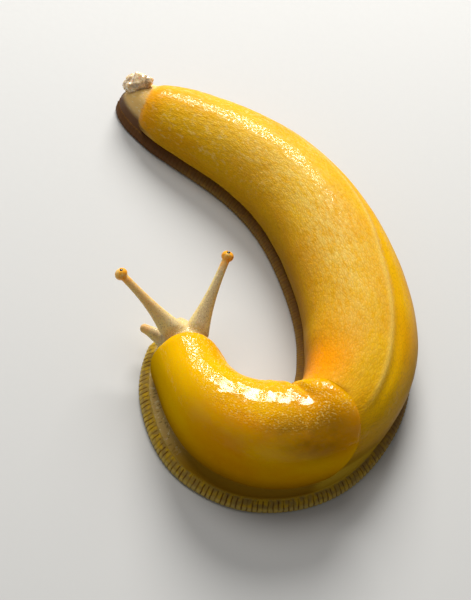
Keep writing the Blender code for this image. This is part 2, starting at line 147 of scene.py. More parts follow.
@dataclass
class Body:
    """The slug's midline and cross-sections."""

    tail_tip: Vector = field(default_factory=lambda: Vector((-40.3, 44.9, 0.0)))
    tail_heading: float = math.radians(-11.0)
    length: float = 168.0
    steps: int = 336
    turn_rate: Curve = field(default_factory=lambda: Curve({
        0: 0.05, 20: 0.3, 45: 1.25, 70: 0.65, 92: 1.35, 108: 2.05,
        120: 3.15, 132: 3.75, 144: 3.0, 156: 1.25, 168: -0.3,
    }))
    foot_half: Curve = field(default_factory=lambda: Curve({
        0: 1.4, 1.5: 3.4, 3.5: 5.0, 6: 6.4, 15: 9.3, 30: 11.0, 50: 12.2, 75: 12.8, 92: 12.8,
        100: 12.4, 112: 11.8, 120: 12.0, 130: 12.1, 138: 11.2, 150: 8.1, 160: 6.5, 168: 4.6,
    }))
    left_flare: Curve = field(default_factory=lambda: Curve({
        108: 0.0, 124: 0.3, 134: 1.1, 142: 2.0, 152: 2.4, 160: 1.5, 168: 0.0,
    }))
    back_height: Curve = field(default_factory=lambda: Curve({
        0: 8.0, 8: 10.0, 20: 12.5, 40: 15.0, 70: 17.0, 100: 17.6,
        112: 17.2, 118: 16.6, 132: 16.3, 145: 14.6, 155: 12.0, 162: 10.1, 168: 7.4,
    }))
    left_inset: Curve = field(default_factory=lambda: Curve({
        0: 0.6, 90: 0.5, 108: 1.4, 122: 3.6, 140: 3.4, 152: 2.6, 160: 1.5, 168: 0.6,
    }))
    right_inset: Curve = field(default_factory=lambda: Curve({
        0: 0.6, 90: 0.5, 112: 1.6, 130: 1.6, 150: 1.4, 160: 0.9, 168: 0.6,
    }))
    roundness: Curve = field(default_factory=lambda: Curve({
        0: 1.9, 10: 1.75, 40: 1.85, 90: 2.1, 130: 2.2, 168: 2.1,
    }))
    bulge_share: float = 0.42
    foot_thickness: float = 2.5
    fringe_width: float = 2.0
    tail_start: float = 5.6
    tail_rounding: float = 4.0
    face_rounding: float = 6.5
    rounding_height: float = 6.0
    flank_clearance: float = 0.3
    tightest: float = 0.3
    points: list = field(default_factory=list)
    headings: list = field(default_factory=list)

    def __post_init__(self) -> None:
        """Walks along the midline."""
        step = self.length / self.steps
        point, heading = self.tail_tip.copy(), self.tail_heading
        self.points, self.headings = [point.copy()], [heading]
        for i in range(self.steps):
            turned = heading - math.radians(self.turn_rate.at((i + 0.5) * step) * step)
            middle = (heading + turned) / 2
            point = point + Vector((math.cos(middle), math.sin(middle), 0.0)) * step
            heading = turned
            self.points.append(point.copy())
            self.headings.append(heading)

    def heading(self, station: float) -> float:
        """The direction of the midline.

        Args:
            station: the station.

        Returns:
            The direction in radians.
        """
        share = min(max(station / self.length, 0.0), 1.0) * self.steps
        i = min(int(share), self.steps - 1)
        return self.headings[i] + (self.headings[i + 1] - self.headings[i]) * (share - i)

    def place(self, station: float, left: float, height: float) -> Vector:
        """The point at a station, offset and raised.

        Args:
            station: distance along the midline.
            left: offset to the left.
            height: height above the ground.

        Returns:
            The point.
        """
        on_line = min(max(station, 0.0), self.length)
        share = on_line / self.length * self.steps
        i = min(int(share), self.steps - 1)
        angle = self.heading(station)
        forward = Vector((math.cos(angle), math.sin(angle), 0.0))
        across = Vector((-math.sin(angle), math.cos(angle), 0.0))
        point = self.points[i].lerp(self.points[i + 1], share - i)
        return point + forward * (station - on_line) + across * left + UP * height

    def half(self, station: float, left_side: bool) -> float:
        """Half the width of the back at the bulge of one flank."""
        inset = self.left_inset if left_side else self.right_inset
        return self.foot_half.at(station) - inset.at(station)

    def foot_edge(self, station: float, left_side: bool) -> float:
        """How far the foot reaches to one side."""
        flare = self.left_flare.at(station) if left_side else 0.0
        return self.foot_half.at(station) + flare

    def back_point(self, station: float, degrees: float, grow: float = 0.0) -> tuple:
        """A place on the flank or back, moved outwards.

        Args:
            station: distance along the midline.
            degrees: angle round the cross-section.
            grow: how far the place is moved out.

        Returns:
            The left offset and the height.
        """
        height = self.back_height.at(station)
        left_side = degrees <= 90
        half = self.half(station, left_side) + grow
        base = self.foot_edge(station, left_side) - self.fringe_width + grow
        bulge = self.bulge_share * height
        power = 2 / self.roundness.at(station)
        rising = math.sin(math.radians(degrees))
        across = abs(math.cos(math.radians(degrees)))
        if rising >= 0:
            offset = half * across**power
            level = bulge + (height + grow - bulge) * rising**power
        else:
            offset = base + (half - base) * across
            level = bulge + (bulge - self.foot_thickness - self.flank_clearance) * rising
        return (offset if left_side else -offset), level

    def nearest(self, point: Vector, tree: kdtree.KDTree) -> tuple:
        """The station and the left offset of a point.

        Args:
            point: any point near the body.
            tree: the midline's points.

        Returns:
            The station, which runs on past both ends, and the offset to the left.
        """
        _, i, _ = tree.find(Vector((point.x, point.y, 0.0)))
        heading = self.headings[i]
        away = point - self.points[i]
        forward = away.x * math.cos(heading) + away.y * math.sin(heading)
        left = -away.x * math.sin(heading) + away.y * math.cos(heading)
        station = i * self.length / self.steps
        bend = math.radians(self.turn_rate.at(station))
        if 0 < i < self.steps:
            forward /= max(1 + bend * left, self.tightest)
        return station + forward, left

    def tree(self) -> kdtree.KDTree:
        """A search tree of the midline's points.

        Returns:
            The tree, whose numbers are those of the points.
        """
        made = kdtree.KDTree(len(self.points))
        for i, point in enumerate(self.points):
            made.insert(point, i)
        made.balance()
        return made


def loft(rings: list) -> bmesh.types.BMesh:
    """A closed form through rings of equal counts: a grid bent round them, with filled ends.

    Args:
        rings: lists of points, all of one length.

    Returns:
        The form.
    """
    shape = bmesh.new()
    around = len(rings[0])
    bmesh.ops.create_grid(shape, x_segments=around, y_segments=len(rings) - 1, size=1.0)
    shape.verts.ensure_lookup_table()
    for row, ring in enumerate(rings):
        for column in range(around + 1):
            shape.verts[row * (around + 1) + column].co = ring[column % around]
    bmesh.ops.remove_doubles(shape, verts=shape.verts, dist=SAME_POINT)
    rim = [edge for edge in shape.edges if edge.is_boundary]
    if rim:
        bmesh.ops.holes_fill(shape, edges=rim, sides=0)
        wide = [face for face in shape.faces if len(face.verts) > 4]
        bmesh.ops.triangulate(shape, faces=wide)
    bmesh.ops.recalc_face_normals(shape, faces=shape.faces)
    return shape


def blank_object(name: str) -> bpy.types.Object:
    """An object with an empty mesh.

    Args:
        name: the object's name.

    Returns:
        The object, linked to the scene.
    """
    made = bpy.data.objects.new(name, bpy.data.meshes.new(name))
    bpy.context.scene.collection.objects.link(made)
    return made


def object_of(name: str, shape: bmesh.types.BMesh) -> bpy.types.Object:
    """Makes an object of a form, and frees the form.

    Args:
        name: the object's name.
        shape: its form.

    Returns:
        The object, linked to the scene.
    """
    made = blank_object(name)
    shape.to_mesh(made.data)
    shape.free()
    return made


def settle(shape: bmesh.types.BMesh, made: bpy.types.Object) -> bpy.types.Object:
    """Makes a form in millimetres the smooth mesh of an object, in metres, and frees the form.

    Args:
        shape: the form.
        made: the object.

    Returns:
        The object.
    """
    bmesh.ops.scale(shape, vec=(MM, MM, MM), verts=shape.verts)
    bmesh.ops.recalc_face_normals(shape, faces=shape.faces)
    shape.to_mesh(made.data)
    shape.free()
    made.data.shade_smooth()
    return made


def smooth(shape: bmesh.types.BMesh, points: list) -> None:
    """Moves points of a form halfway to the middle of their neighbours."""
    bmesh.ops.smooth_vert(
        shape, verts=points, factor=0.5, use_axis_x=True, use_axis_y=True, use_axis_z=True
    )


def apply_modifiers(made: bpy.types.Object) -> None:
    """Makes the shape that an object's modifiers give it its own mesh.

    Args:
        made: the object.
    """
    graph = bpy.context.evaluated_depsgraph_get()
    old = made.data
    made.data = bpy.data.meshes.new_from_object(made.evaluated_get(graph))
    made.modifiers.clear()
    bpy.data.meshes.remove(old)


def combine(target: bpy.types.Object, other: bpy.types.Object, operation: str = "UNION") -> None:
    """Joins another object to the target as one closed skin or cuts it out, and removes it.

    Args:
        target: the object that is changed.
        other: the object that is used up.
        operation: UNION or DIFFERENCE.
    """
    modifier = target.modifiers.new(operation.title(), "BOOLEAN")
    modifier.operation = operation
    modifier.solver = "MANIFOLD"
    modifier.object = other
    apply_modifiers(target)
    bpy.data.objects.remove(other)


class Flesh(Enum):
    """The part of the slug that a face of the skin belongs to, by its material index."""

    BACK = 0
    MANTLE = 1
    FOOT = 2
    TENTACLE = 3
    TAIL_LOBE = 4
    LIPS = 5


def ball(centre: Vector, radii: tuple, turn: float = 0.0, segments: int = 24) -> bmesh.types.BMesh:
    """A ball stretched to three radii and turned about the vertical.

    Args:
        centre: its middle.
        radii: its radii along x, y and z before the turn.
        turn: the turn in radians.
        segments: how many faces it has round.

    Returns:
        The form.
    """
    shape = bmesh.new()
    bmesh.ops.create_uvsphere(
        shape,
        u_segments=segments,
        v_segments=segments * 2 // 3,
        radius=1.0,
        matrix=Matrix.LocRotScale(centre, Matrix.Rotation(turn, 3, "Z"), Vector(radii)),
    )
    return shape


@dataclass
class Tentacle:
    """A tapered stalk with a knob at its tip, flared where it leaves the head."""

    body: Body
    root: tuple
    tip: tuple
    bow: float
    root_radius: float
    stalk_radius: float
    knob_radius: float
    slimming: float
    knob_length: float = 1.9
    sides: int = 28
    ring_gap: float = 0.34
    sink: float = 0.2
    eye_out: float = 1.08
    eye_radius: float = 0.41
    knob_tint: float = 1.0
    has_eye: bool = True
    warmth: float = 0.0
    core_tint: float = 1.0
    knob_rings: int = 9
    neck_share: float = 1.35
    full_knob_share: float = 0.62
    eye_ahead: float = 0.6
    eye_above: float = 0.8
    samples: int = 40
    probe: float = 0.05
    last_share: float = 0.93
    least_radius: float = 0.1
    knob_inside: float = 0.98
    fewest_rings: int = 8
    tip_share: float = 0.001
    axis: list = field(default_factory=list)

    def __post_init__(self) -> None:
        """Samples the axis."""
        self.axis = [self.centre(i / self.samples) for i in range(self.samples + 1)]

    def centre(self, share: float) -> Vector:
        """A point of the axis, a shallow arc from the root to the tip."""
        start, end = self.body.place(*self.root), self.body.place(*self.tip)
        return start.lerp(end, share) + UP * self.bow * math.sin(math.pi * share)

    def directions(self, share: float) -> tuple:
        """The directions at a share of the axis.

        Args:
            share: 0 at the root, 1 at the tip.

        Returns:
            The directions along, sideways and upwards.
        """
        behind, ahead = min(share, 1.0) - self.probe, min(share + self.probe, 1.0)
        along = (self.centre(ahead) - self.centre(behind)).normalized()
        side = along.cross(UP).normalized()
        return along, side, side.cross(along)

    def length(self) -> float:
        """The straight distance from the root to the tip."""
        return (self.centre(1.0) - self.centre(0.0)).length

    def knob_share(self) -> float:
        """The share of the axis that the knob takes."""
        return self.knob_length * self.knob_radius / self.length()

    def radius(self, share: float) -> float:
        """The radius at a share of the axis.

        Args:
            share: 0 at the root, 1 at the tip, negative inside the head.

        Returns:
            The radius of the flared root, the slim stalk or the round knob.
        """
        flare = (self.root_radius - self.stalk_radius) * max(1 - share, 0.0) ** self.slimming
        slim = self.stalk_radius + flare
        from_tip = (1 - share) / self.knob_share()
        if from_tip >= self.neck_share:
            return slim
        across = 1 - 2 * min(from_tip, self.knob_inside)
        round_knob = self.knob_radius * math.sqrt(max(0.0, 1 - across * across))
        if from_tip <= 0.5:
            return round_knob
        blend = ease(self.neck_share, self.full_knob_share, from_tip)
        return max(slim, slim + (round_knob - slim) * blend)

    def form(self) -> bmesh.types.BMesh:
        """The closed form from inside the head to the tip.

        Returns:
            The form.
        """
        half_knob = self.knob_share() / 2
        reach = 1 - half_knob + self.sink
        count = max(self.fewest_rings, round(self.length() * reach / self.ring_gap))
        shares = [-self.sink + reach * i / count for i in range(count + 1)]
        quarter, last = math.pi / 2, self.knob_rings
        shares += [1 - half_knob * math.cos(quarter * i / last) for i in range(1, last)]
        shares.append(1 - half_knob * self.tip_share)
        rings = []
        for share in shares:
            _, side, up = self.directions(share)
            radius, centre = self.radius(share), self.centre(share)
            turns = (math.tau * j / self.sides for j in range(self.sides))
            rings.append([centre + (side * math.cos(a) + up * math.sin(a)) * radius for a in turns])
        return loft(rings)

    def eye_place(self) -> Vector:
        """The middle of the eye, on the upper front of the knob.

        Returns:
            The point.
        """
        along, _, up = self.directions(1.0)
        outwards = along * self.eye_ahead + up * self.eye_above
        return self.centre(1.0) - along * self.knob_radius + outwards * self.eye_out

    def share_at(self, point: Vector) -> tuple:
        """Where a point lies on the tentacle.

        Args:
            point: any point near it.

        Returns:
            The share of the axis, the distance from the axis in radii, and how far up or down
            the point faces.
        """
        gaps = [(point - sample).length_squared for sample in self.axis]
        i = gaps.index(min(gaps))
        share = i / self.samples
        away = point - self.axis[i]
        _, _, up = self.directions(share)
        gap, radius = away.length, max(self.radius(min(share, self.last_share)), self.least_radius)
        return share, gap / radius, abs(away.dot(up)) / max(gap, NEAR)


@dataclass
class Mantle:
    """The thick flap over the front of the back, with the cleft of the breathing pore."""

    body: Body
    left_edge: Curve = field(default_factory=lambda: Curve({
        112.4: 92, 113.2: 80, 115.2: 45, 117.5: 17, 121: -9, 126: -24,
        140: -26, 150: -34, 154.5: -32, 157.2: -6, 158.5: 40, 159.8: 68, 160.6: 92,
    }, step=0.1))
    right_edge: Curve = field(default_factory=lambda: Curve({
        112.4: 98, 113.0: 113, 115: 124, 118: 138, 121: 158, 126: 186,
        135: 200, 150: 200, 154: 188, 157: 160, 159: 130, 160: 116, 160.6: 98,
    }, step=0.1))
    start: float = 112.4
    end: float = 160.6
    lift: float = 0.3
    thickness: float = 2.2
    edge_share: float = 0.25
    end_rounding: float = 3.0
    end_share: float = 0.02
    sunk: float = 0.8
    ring_gap: float = 0.46
    bend_reach: float = 9.0
    finest: float = 0.3
    points: int = 140
    inner_points: int = 14
    even_share: float = 0.45
    squareness: int = 5
    pore_station: float = 119.5
    pore_angle: float = 150.0
    grown_share: float = 0.85
    grown_degrees: tuple = (40.0, 0.0)
    grown_start: tuple = (118.0, 124.0)
    grown_end: tuple = (156.0, 151.0)

    def free_edge(self, station: float, degrees: float) -> float:
        """How far the edge stands free; low on the left flank it runs smoothly into the body.

        Args:
            station: distance along the midline.
            degrees: angle round the cross-section.

        Returns:
            1 where it stands free, less where it has grown on.
        """
        grown_on = ease(*self.grown_degrees, degrees) * ease(*self.grown_start, station)
        return 1 - self.grown_share * grown_on * ease(*self.grown_end, station)

    def ring(self, station: float) -> list:
        """One ring: over the rounded outer face, and back inside the body.

        Args:
            station: the ring's station.

        Returns:
            The ring's points.
        """
        left, right = self.left_edge.at(station), self.right_edge.at(station)
        into = min(station - self.start, self.end - station) / self.end_rounding
        lengthwise = math.sqrt(1 - (1 - min(max(into, self.end_share), 1.0)) ** 2)
        outer, inner = [], []
        for i in range(self.points + 1):
            even = 2 * i / self.points - 1
            t = self.even_share * even
            t -= (1 - self.even_share) * math.cos(math.pi * i / self.points)
            degrees = left + (right - left) * (1 + t) / 2
            crosswise = math.sqrt(max(0.0, 1 - abs(t) ** self.squareness))
            free = self.free_edge(station, degrees)
            edge = self.edge_share * free
            fullness = edge + (1 - edge) * crosswise * lengthwise
            out = self.lift * free + self.thickness * fullness
            outer.append(self.body.place(station, *self.body.back_point(station, degrees, out)))
        for i in range(self.inner_points + 1):
            degrees = right + (left - right) * i / self.inner_points
            inside = self.body.back_point(station, degrees, -self.sunk)
            inner.append(self.body.place(station, *inside))
        return outer + inner

    def form(self) -> bmesh.types.BMesh:
        """The closed form, sunk a little into the back.

        Returns:
            The form.
        """
        stations, station = [], self.start
        while station < self.end:
            stations.append(station)
            bend = math.radians(self.body.turn_rate.at(station))
            into = min(station - self.start, self.end - station) / self.end_rounding
            finer = self.finest + (1 - self.finest) * min(into, 1.0)
            station += self.ring_gap * finer / (1 + bend * self.bend_reach)
        return loft([self.ring(station) for station in stations + [self.end]])


# The foot's profile from the middle of the sole to below the flank: the inset from the foot's
# edge, the height, and how much of a groove's depth it takes.
FRINGE_PROFILE = (
    (6.0, 0.0, 0.0), (3.0, 0.0, 0.0), (1.6, 0.0, 0.0), (0.8, 0.0, 0.0), (0.42, 0.05, 0.0),
    (0.16, 0.2, 0.3), (0.02, 0.45, 0.8), (0.0, 0.72, 1.0), (0.1, 1.0, 1.0), (0.3, 1.3, 1.0),
    (0.58, 1.6, 0.9), (0.9, 1.86, 0.7), (1.22, 2.08, 0.4), (1.52, 2.26, 0.15), (1.8, 2.36, 0.0),
    (2.04, 2.24, 0.0), (2.4, 1.95, 0.0), (4.0, 1.9, 0.0),
)


@dataclass(frozen=True)
class Waves:
    """Soft noise over the body: its length, its width, the layer that it is cut at, its height."""

    length: float
    width: float
    layer: float
    height: float

    def at(self, along: float, across: float) -> float:
        """The height at a place on the body."""
        place = Vector((along / self.length, across / self.width, self.layer))
        return noise.noise(place) * self.height


@dataclass(frozen=True)
class Relief:
    """The fine shape of the skin: rugae, grain, the shoulder's ridge, the mantle's fold.

    A hump is given by its centre and its width, a zone by its values for none and for all.
    """

    swell: Waves = Waves(7.0, 5.0, 3.1, 0.10)
    mantle_swell: float = 1.2
    grain: Waves = Waves(1.0, 0.7, 7.7, 0.045)
    ripple: Waves = Waves(2.6, 2.0, 1.3, 0.08)
    fold: tuple = (120.4, 1.4)
    fold_zone: tuple = (0.0, 6.0)
    fold_depth: float = -1.0
    hind_lobe: tuple = (116.8, 3.2)
    hind_lobe_across: tuple = (-0.8, 6.5)
    hind_lobe_height: float = 0.9
    bend: Waves = Waves(4.0, 4.0, 9.0, 0.5)
    rugae_length: float = 2.8
    rugae_width: float = 0.85
    rugae_height: float = 0.12
    rugae_top: float = 0.5
    rugae_sink: float = 0.03
    fine: Waves = Waves(1.4, 0.45, 5.0, 0.035)
    head_calm: float = 0.75
    ridge: tuple = (0.0, 0.8)
    ridge_height: float = 0.26
    ridge_furrow: tuple = (-1.7, 1.1)
    ridge_furrow_depth: float = 0.22
    ridge_start: tuple = (40.0, 60.0)
    ridge_end: tuple = (114.0, 104.0)
    ridge_line: Curve = field(default_factory=lambda: Curve({
        30: -8.5, 45: -8.0, 62: -6.9, 76: -4.8, 94: -4.1, 104: -4.8, 114: -6.2,
    }))
    pore_slant: float = 0.25
    pore_width: float = 0.75
    pore_length: float = 2.4
    pore_depth: float = 1.1

    def height(self, place: "Place") -> float:
        """How far the skin stands out at a place.

        Args:
            place: the place on the skin.

        Returns:
            The height in millimetres.
        """
        if place.flesh is Flesh.MANTLE:
            return self.on_mantle(place)
        if place.flesh in (Flesh.BACK, Flesh.TAIL_LOBE):
            return self.on_back(place)
        return 0.0

    def on_mantle(self, place: "Place") -> float:
        """The height on the mantle, with the fold before its hind lobe.

        Args:
            place: the place on the skin.

        Returns:
            The height in millimetres.
        """
        along, across = place.station, place.across
        fold = self.fold_depth * hump(*self.fold, along) * ease(*self.fold_zone, across)
        lobe = self.hind_lobe_height * hump(*self.hind_lobe, along)
        lobe *= hump(*self.hind_lobe_across, across)
        shape = self.swell.at(along, across) * self.mantle_swell + fold + lobe
        grain = self.grain.at(along, across) + self.ripple.at(along, across)
        return (shape + grain * place.grainy) * place.mantle_inside

    def on_back(self, place: "Place") -> float:
        """The height on the back, with its rugae and the long low ridge on the left shoulder.

        Args:
            place: the place on the skin.

        Returns:
            The height in millimetres.
        """
        along, across = place.station, place.across
        bent = across + self.bend.at(along, across)
        cell = Vector((along / self.rugae_length, bent / self.rugae_width, 0.0))
        gaps, _ = noise.voronoi(cell)
        rugae = min(gaps[1] - gaps[0], self.rugae_top) * self.rugae_height - self.rugae_sink
        free = (1 - self.head_calm * place.head) * place.grainy
        grain = (rugae * place.open_back + self.fine.at(along, across)) * free
        away = across - self.ridge_line.at(along)
        ridge = self.ridge_height * hump(*self.ridge, away)
        ridge -= self.ridge_furrow_depth * hump(*self.ridge_furrow, away)
        ridge *= ease(*self.ridge_start, along) * ease(*self.ridge_end, along)
        return self.swell.at(along, across) + grain + ridge

    def pore(self, place: "Place", mantle: Mantle) -> float:
        """How deep the cleft of the breathing pore is at a place.

        Args:
            place: the place on the mantle.
            mantle: the mantle, which knows where the pore is.

        Returns:
            The depth in millimetres.
        """
        reach = place.across - math.radians(mantle.pore_angle - 90.0) * ROUND_RADIUS
        slide = (place.station - mantle.pore_station + self.pore_slant * reach) / self.pore_width
        return self.pore_depth * math.exp(-slide * slide) * math.exp(-((reach / self.pore_length)**4))


@dataclass
class Skin:
    """The one skin of body, foot, mantle, head, tentacles and the lobe of the tail."""

    body: Body
    mantle: Mantle
    tentacles: list
    relief: Relief = field(default_factory=Relief)
    ring_gap: float = 0.46
    bend_reach: float = 9.0
    back_points: int = 108
    flank_points: int = 12
    tail_rings: int = 12
    face_rings: int = 26
    least_gap: float = 0.2
    nearly_closed: float = 0.9995
    foot_overlap: float = 1.3
    groove_pitch: float = 1.12
    groove_depth: float = 0.13
    groove_lift: float = 0.25
    sole_room: tuple = (0.5, 0.08)
    rings_a_groove: int = 3
    foot_start: float = 0.02
    foot_end: float = 166.6
    foot_nose: float = 3.0
    foot_probe: float = 0.1
    foot_tip: float = 0.004
    bluntness: float = 0.02
    lip_radius: float = 1.6
    lip_tallness: float = 1.05
    lip_segments: int = 30
    lip_spread: float = 1.2
    lip_station: float = 166.6
    lip_height: float = 4.5
    mouth_radii: tuple = (1.1, 0.2, 1.45)
    lobe_start: float = 0.5
    lobe_reach: float = 3.4
    lobe_floor: float = 1.6
    lobe_height: float = 9.0
    lobe_inset: float = 1.2
    lobe_rings: int = 24
    lobe_points: int = 36
    lobe_fullness: float = 0.85
    lobe_left_share: float = 0.5
    lobe_swell: tuple = (0.06, 1.25)
    eye_gap: float = 0.04
    weld_gap: float = 0.03
    foot_fillet: float = 0.5
    mantle_fillet: float = 0.45
    end_fillet: float = 0.9
    tentacle_fillet: float = 2.2
    tentacle_rounds: int = 8
    edge_stations: list = field(default_factory=list)

    def shrink(self, station: float) -> float:
        """How far a ring is drawn in at the two rounded ends.

        Args:
            station: the ring's station.

        Returns:
            1 along the body, less towards its ends.
        """
        body, shrink = self.body, 1.0
        into_tail = (body.tail_start + body.tail_rounding - station) / body.tail_rounding
        into_face = (station - body.length + body.face_rounding) / body.face_rounding
        for into in (into_tail, into_face):
            if into > 0:
                shrink *= math.sqrt(max(0.0, 1 - into * into))
        return shrink

    def stations(self) -> list:
        """Stations of the body's rings, closer where the outside of a bend is stretched.

        Returns:
            The stations, from the tail to the face.
        """
        body, quarter = self.body, math.pi / 2
        low = body.tail_start + body.tail_rounding
        high = body.length - body.face_rounding
        found = [low - body.tail_rounding * self.nearly_closed]
        found += [
            low - body.tail_rounding * math.cos(quarter * i / self.tail_rings)
            for i in range(1, self.tail_rings)
        ]
        station = low
        while station < high - self.least_gap:
            found.append(station)
            bend = math.radians(body.turn_rate.at(station))
            station += self.ring_gap / (1 + bend * self.bend_reach)
        found += [
            high + body.face_rounding * math.sin(quarter * i / self.face_rings)
            for i in range(self.face_rings)
        ]
        found.append(high + body.face_rounding * self.nearly_closed)
        return found

    def ring(self, station: float) -> list:
        """One ring of the body, with its lowest points sunk into the foot.

        Args:
            station: the ring's station.

        Returns:
            The ring's points, from the left over the back to the right.
        """
        body, shrink = self.body, self.shrink(station)
        flank, back = self.flank_points, self.back_points
        angles = [-90 + 90 * i / flank for i in range(flank)]
        angles += [180 * i / back for i in range(back)]
        angles += [180 + 90 * i / flank for i in range(flank + 1)]
        points = []
        for degrees in angles:
            offset, height = body.back_point(station, degrees)
            raised = body.rounding_height + (height - body.rounding_height) * shrink
            points.append(body.place(station, offset * shrink, raised))
        drop = Vector((0.0, 0.0, -self.foot_overlap)) * shrink
        return [points[0] + drop] + points + [points[-1] + drop]

    def foot_ring(self, station: float, number: int) -> list:
        """One ring of the foot, drawn in where a groove crosses the fringe.

        Args:
            station: the ring's station.
            number: the ring's number from the tail.

        Returns:
            The ring's points.
        """
        body = self.body
        into = max(station - self.foot_end + self.foot_nose, 0.0) / self.foot_nose
        shrink = math.sqrt(max(0.0, 1 - into * into))
        groove = self.groove_depth * shrink if number % self.rings_a_groove == 0 else 0.0
        (room, narrowing), points = self.sole_room, []
        for side in Side:
            full = body.foot_edge(station, side is Side.LEFT) * shrink
            half = []
            for inset, height, depth in FRINGE_PROFILE:
                out = max(full - inset - groove * depth, full * (room - narrowing * inset))
                lift = self.groove_lift * groove * depth if height else 0.0
                half.append((side.value * out, height + lift))
            points += half if side is Side.LEFT else half[::-1]
        return [body.place(station, left, height) for left, height in points]

    def foot_form(self) -> bmesh.types.BMesh:
        """The flat-soled foot, its rings evenly spaced along its longer edge.

        Returns:
            The form.
        """
        body, gap, probe = self.body, self.groove_pitch / self.rings_a_groove, self.foot_probe
        station, found = self.foot_start, []
        while station < self.foot_end - NEAR:
            found.append(station)
            bend = math.radians(body.turn_rate.at(station))
            reach = body.foot_edge(station, True)
            slope = abs(body.foot_edge(station + probe, True) - reach) / probe
            into = station - self.foot_end + self.foot_nose
            if into > 0:
                steep = into / math.sqrt(max(self.foot_nose**2 - into**2, self.bluntness))
                slope = max(slope, reach / self.foot_nose * steep)
            station += gap / math.hypot(1 + bend * reach, slope)
        self.edge_stations = found + [self.foot_end - self.foot_tip]
        return loft([self.foot_ring(s, i) for i, s in enumerate(self.edge_stations)])

    def lobe_form(self) -> bmesh.types.BMesh:
        """The soft lobe of the tail behind the caudal pit, a low dome sunk into foot and tail.

        Returns:
            The form.
        """
        start, end = self.lobe_start, self.body.tail_start + self.lobe_reach
        (first, growth), rings = self.lobe_swell, []
        for i in range(self.lobe_rings + 1):
            t = 1 - math.cos(math.pi / 2 * i / self.lobe_rings)
            station = start + (end - start) * t
            half = self.body.foot_half.at(station)
            swell = math.sqrt(math.sin(math.pi / 2 * min(1.0, first + growth * t)))
            rise = (self.lobe_height - self.lobe_floor) * swell
            ring = []
            for j in range(self.lobe_points + 1):
                turn = math.pi * j / self.lobe_points
                inset = self.lobe_inset * (1.0 if turn > math.pi / 2 else self.lobe_left_share)
                level = self.lobe_floor + rise * math.sin(turn) ** self.lobe_fullness
                ring.append(self.body.place(station, (half - inset) * math.cos(turn), level))
            rings.append(ring)
        return loft(rings)

    def add(
        self, skin: bpy.types.Object, shape: bmesh.types.BMesh, flesh: Flesh, operation: str = "UNION"
    ) -> None:
        """Joins a form to the skin or cuts it out, its faces marked as the flesh they are.

        Args:
            skin: the skin so far.
            shape: the form, which is used up.
            flesh: the kind of flesh of the new faces.
            operation: UNION or DIFFERENCE.
        """
        other = object_of("form", shape)
        for _ in Flesh:
            other.data.materials.append(None)
        for face in other.data.polygons:
            face.material_index = flesh.value
        combine(skin, other, operation)

    def join(self) -> bpy.types.Object:
        """Joins all the forms to one closed skin.

        Returns:
            The skin, in millimetres.
        """
        skin = object_of("skin", loft([self.ring(station) for station in self.stations()]))
        for _ in Flesh:
            skin.data.materials.append(None)
        self.add(skin, self.mantle.form(), Flesh.MANTLE)
        self.add(skin, self.foot_form(), Flesh.FOOT)
        self.add(skin, self.lobe_form(), Flesh.TAIL_LOBE)
        heading = self.body.heading(self.lip_station)
        for side in Side:
            centre = self.body.place(self.lip_station, side.value * self.lip_spread, self.lip_height)
            radii = (self.lip_radius, self.lip_radius, self.lip_radius * self.lip_tallness)
            self.add(skin, ball(centre, radii, heading, self.lip_segments), Flesh.LIPS)
        slit = self.body.place(self.lip_station + self.lip_radius, 0.0, self.lip_height)
        combine(skin, object_of("slit", ball(slit, self.mouth_radii, heading)), "DIFFERENCE")
        for tentacle in self.tentacles:
            self.add(skin, tentacle.form(), Flesh.TENTACLE)
            if tentacle.has_eye:
                socket = ball(tentacle.eye_place(), (tentacle.eye_radius + self.eye_gap,) * 3)
                self.add(skin, socket, Flesh.TENTACLE, "DIFFERENCE")
        return skin

    def soften(self, shape: bmesh.types.BMesh, pairs: list, reach: float, rounds: int) -> None:
        """Smooths the skin along the creases between two kinds of flesh.

        Args:
            shape: the skin.
            pairs: the kinds of flesh that meet.
            reach: how far from the seam the smoothing goes.
            rounds: how often each distance is smoothed.
        """
        wanted = [{a.value, b.value} for a, b in pairs]
        reached = {}
        for edge in shape.edges:
            if {face.material_index for face in edge.link_faces} in wanted:
                for vertex in edge.verts:
                    reached[vertex] = 0.0
        rim = list(reached)
        while rim:
            following = []
            for vertex in rim:
                for edge in vertex.link_edges:
                    other = edge.other_vert(vertex)
                    gap = reached[vertex] + edge.calc_length()
                    if gap < reach and gap < reached.get(other, reach) - TINY:
                        reached[other] = gap
                        following.append(other)
            rim = following
        for _ in range(rounds):
            for share in SOFTENING_SHARES:
                smooth(shape, [vertex for vertex, gap in reached.items() if gap <= reach * share])

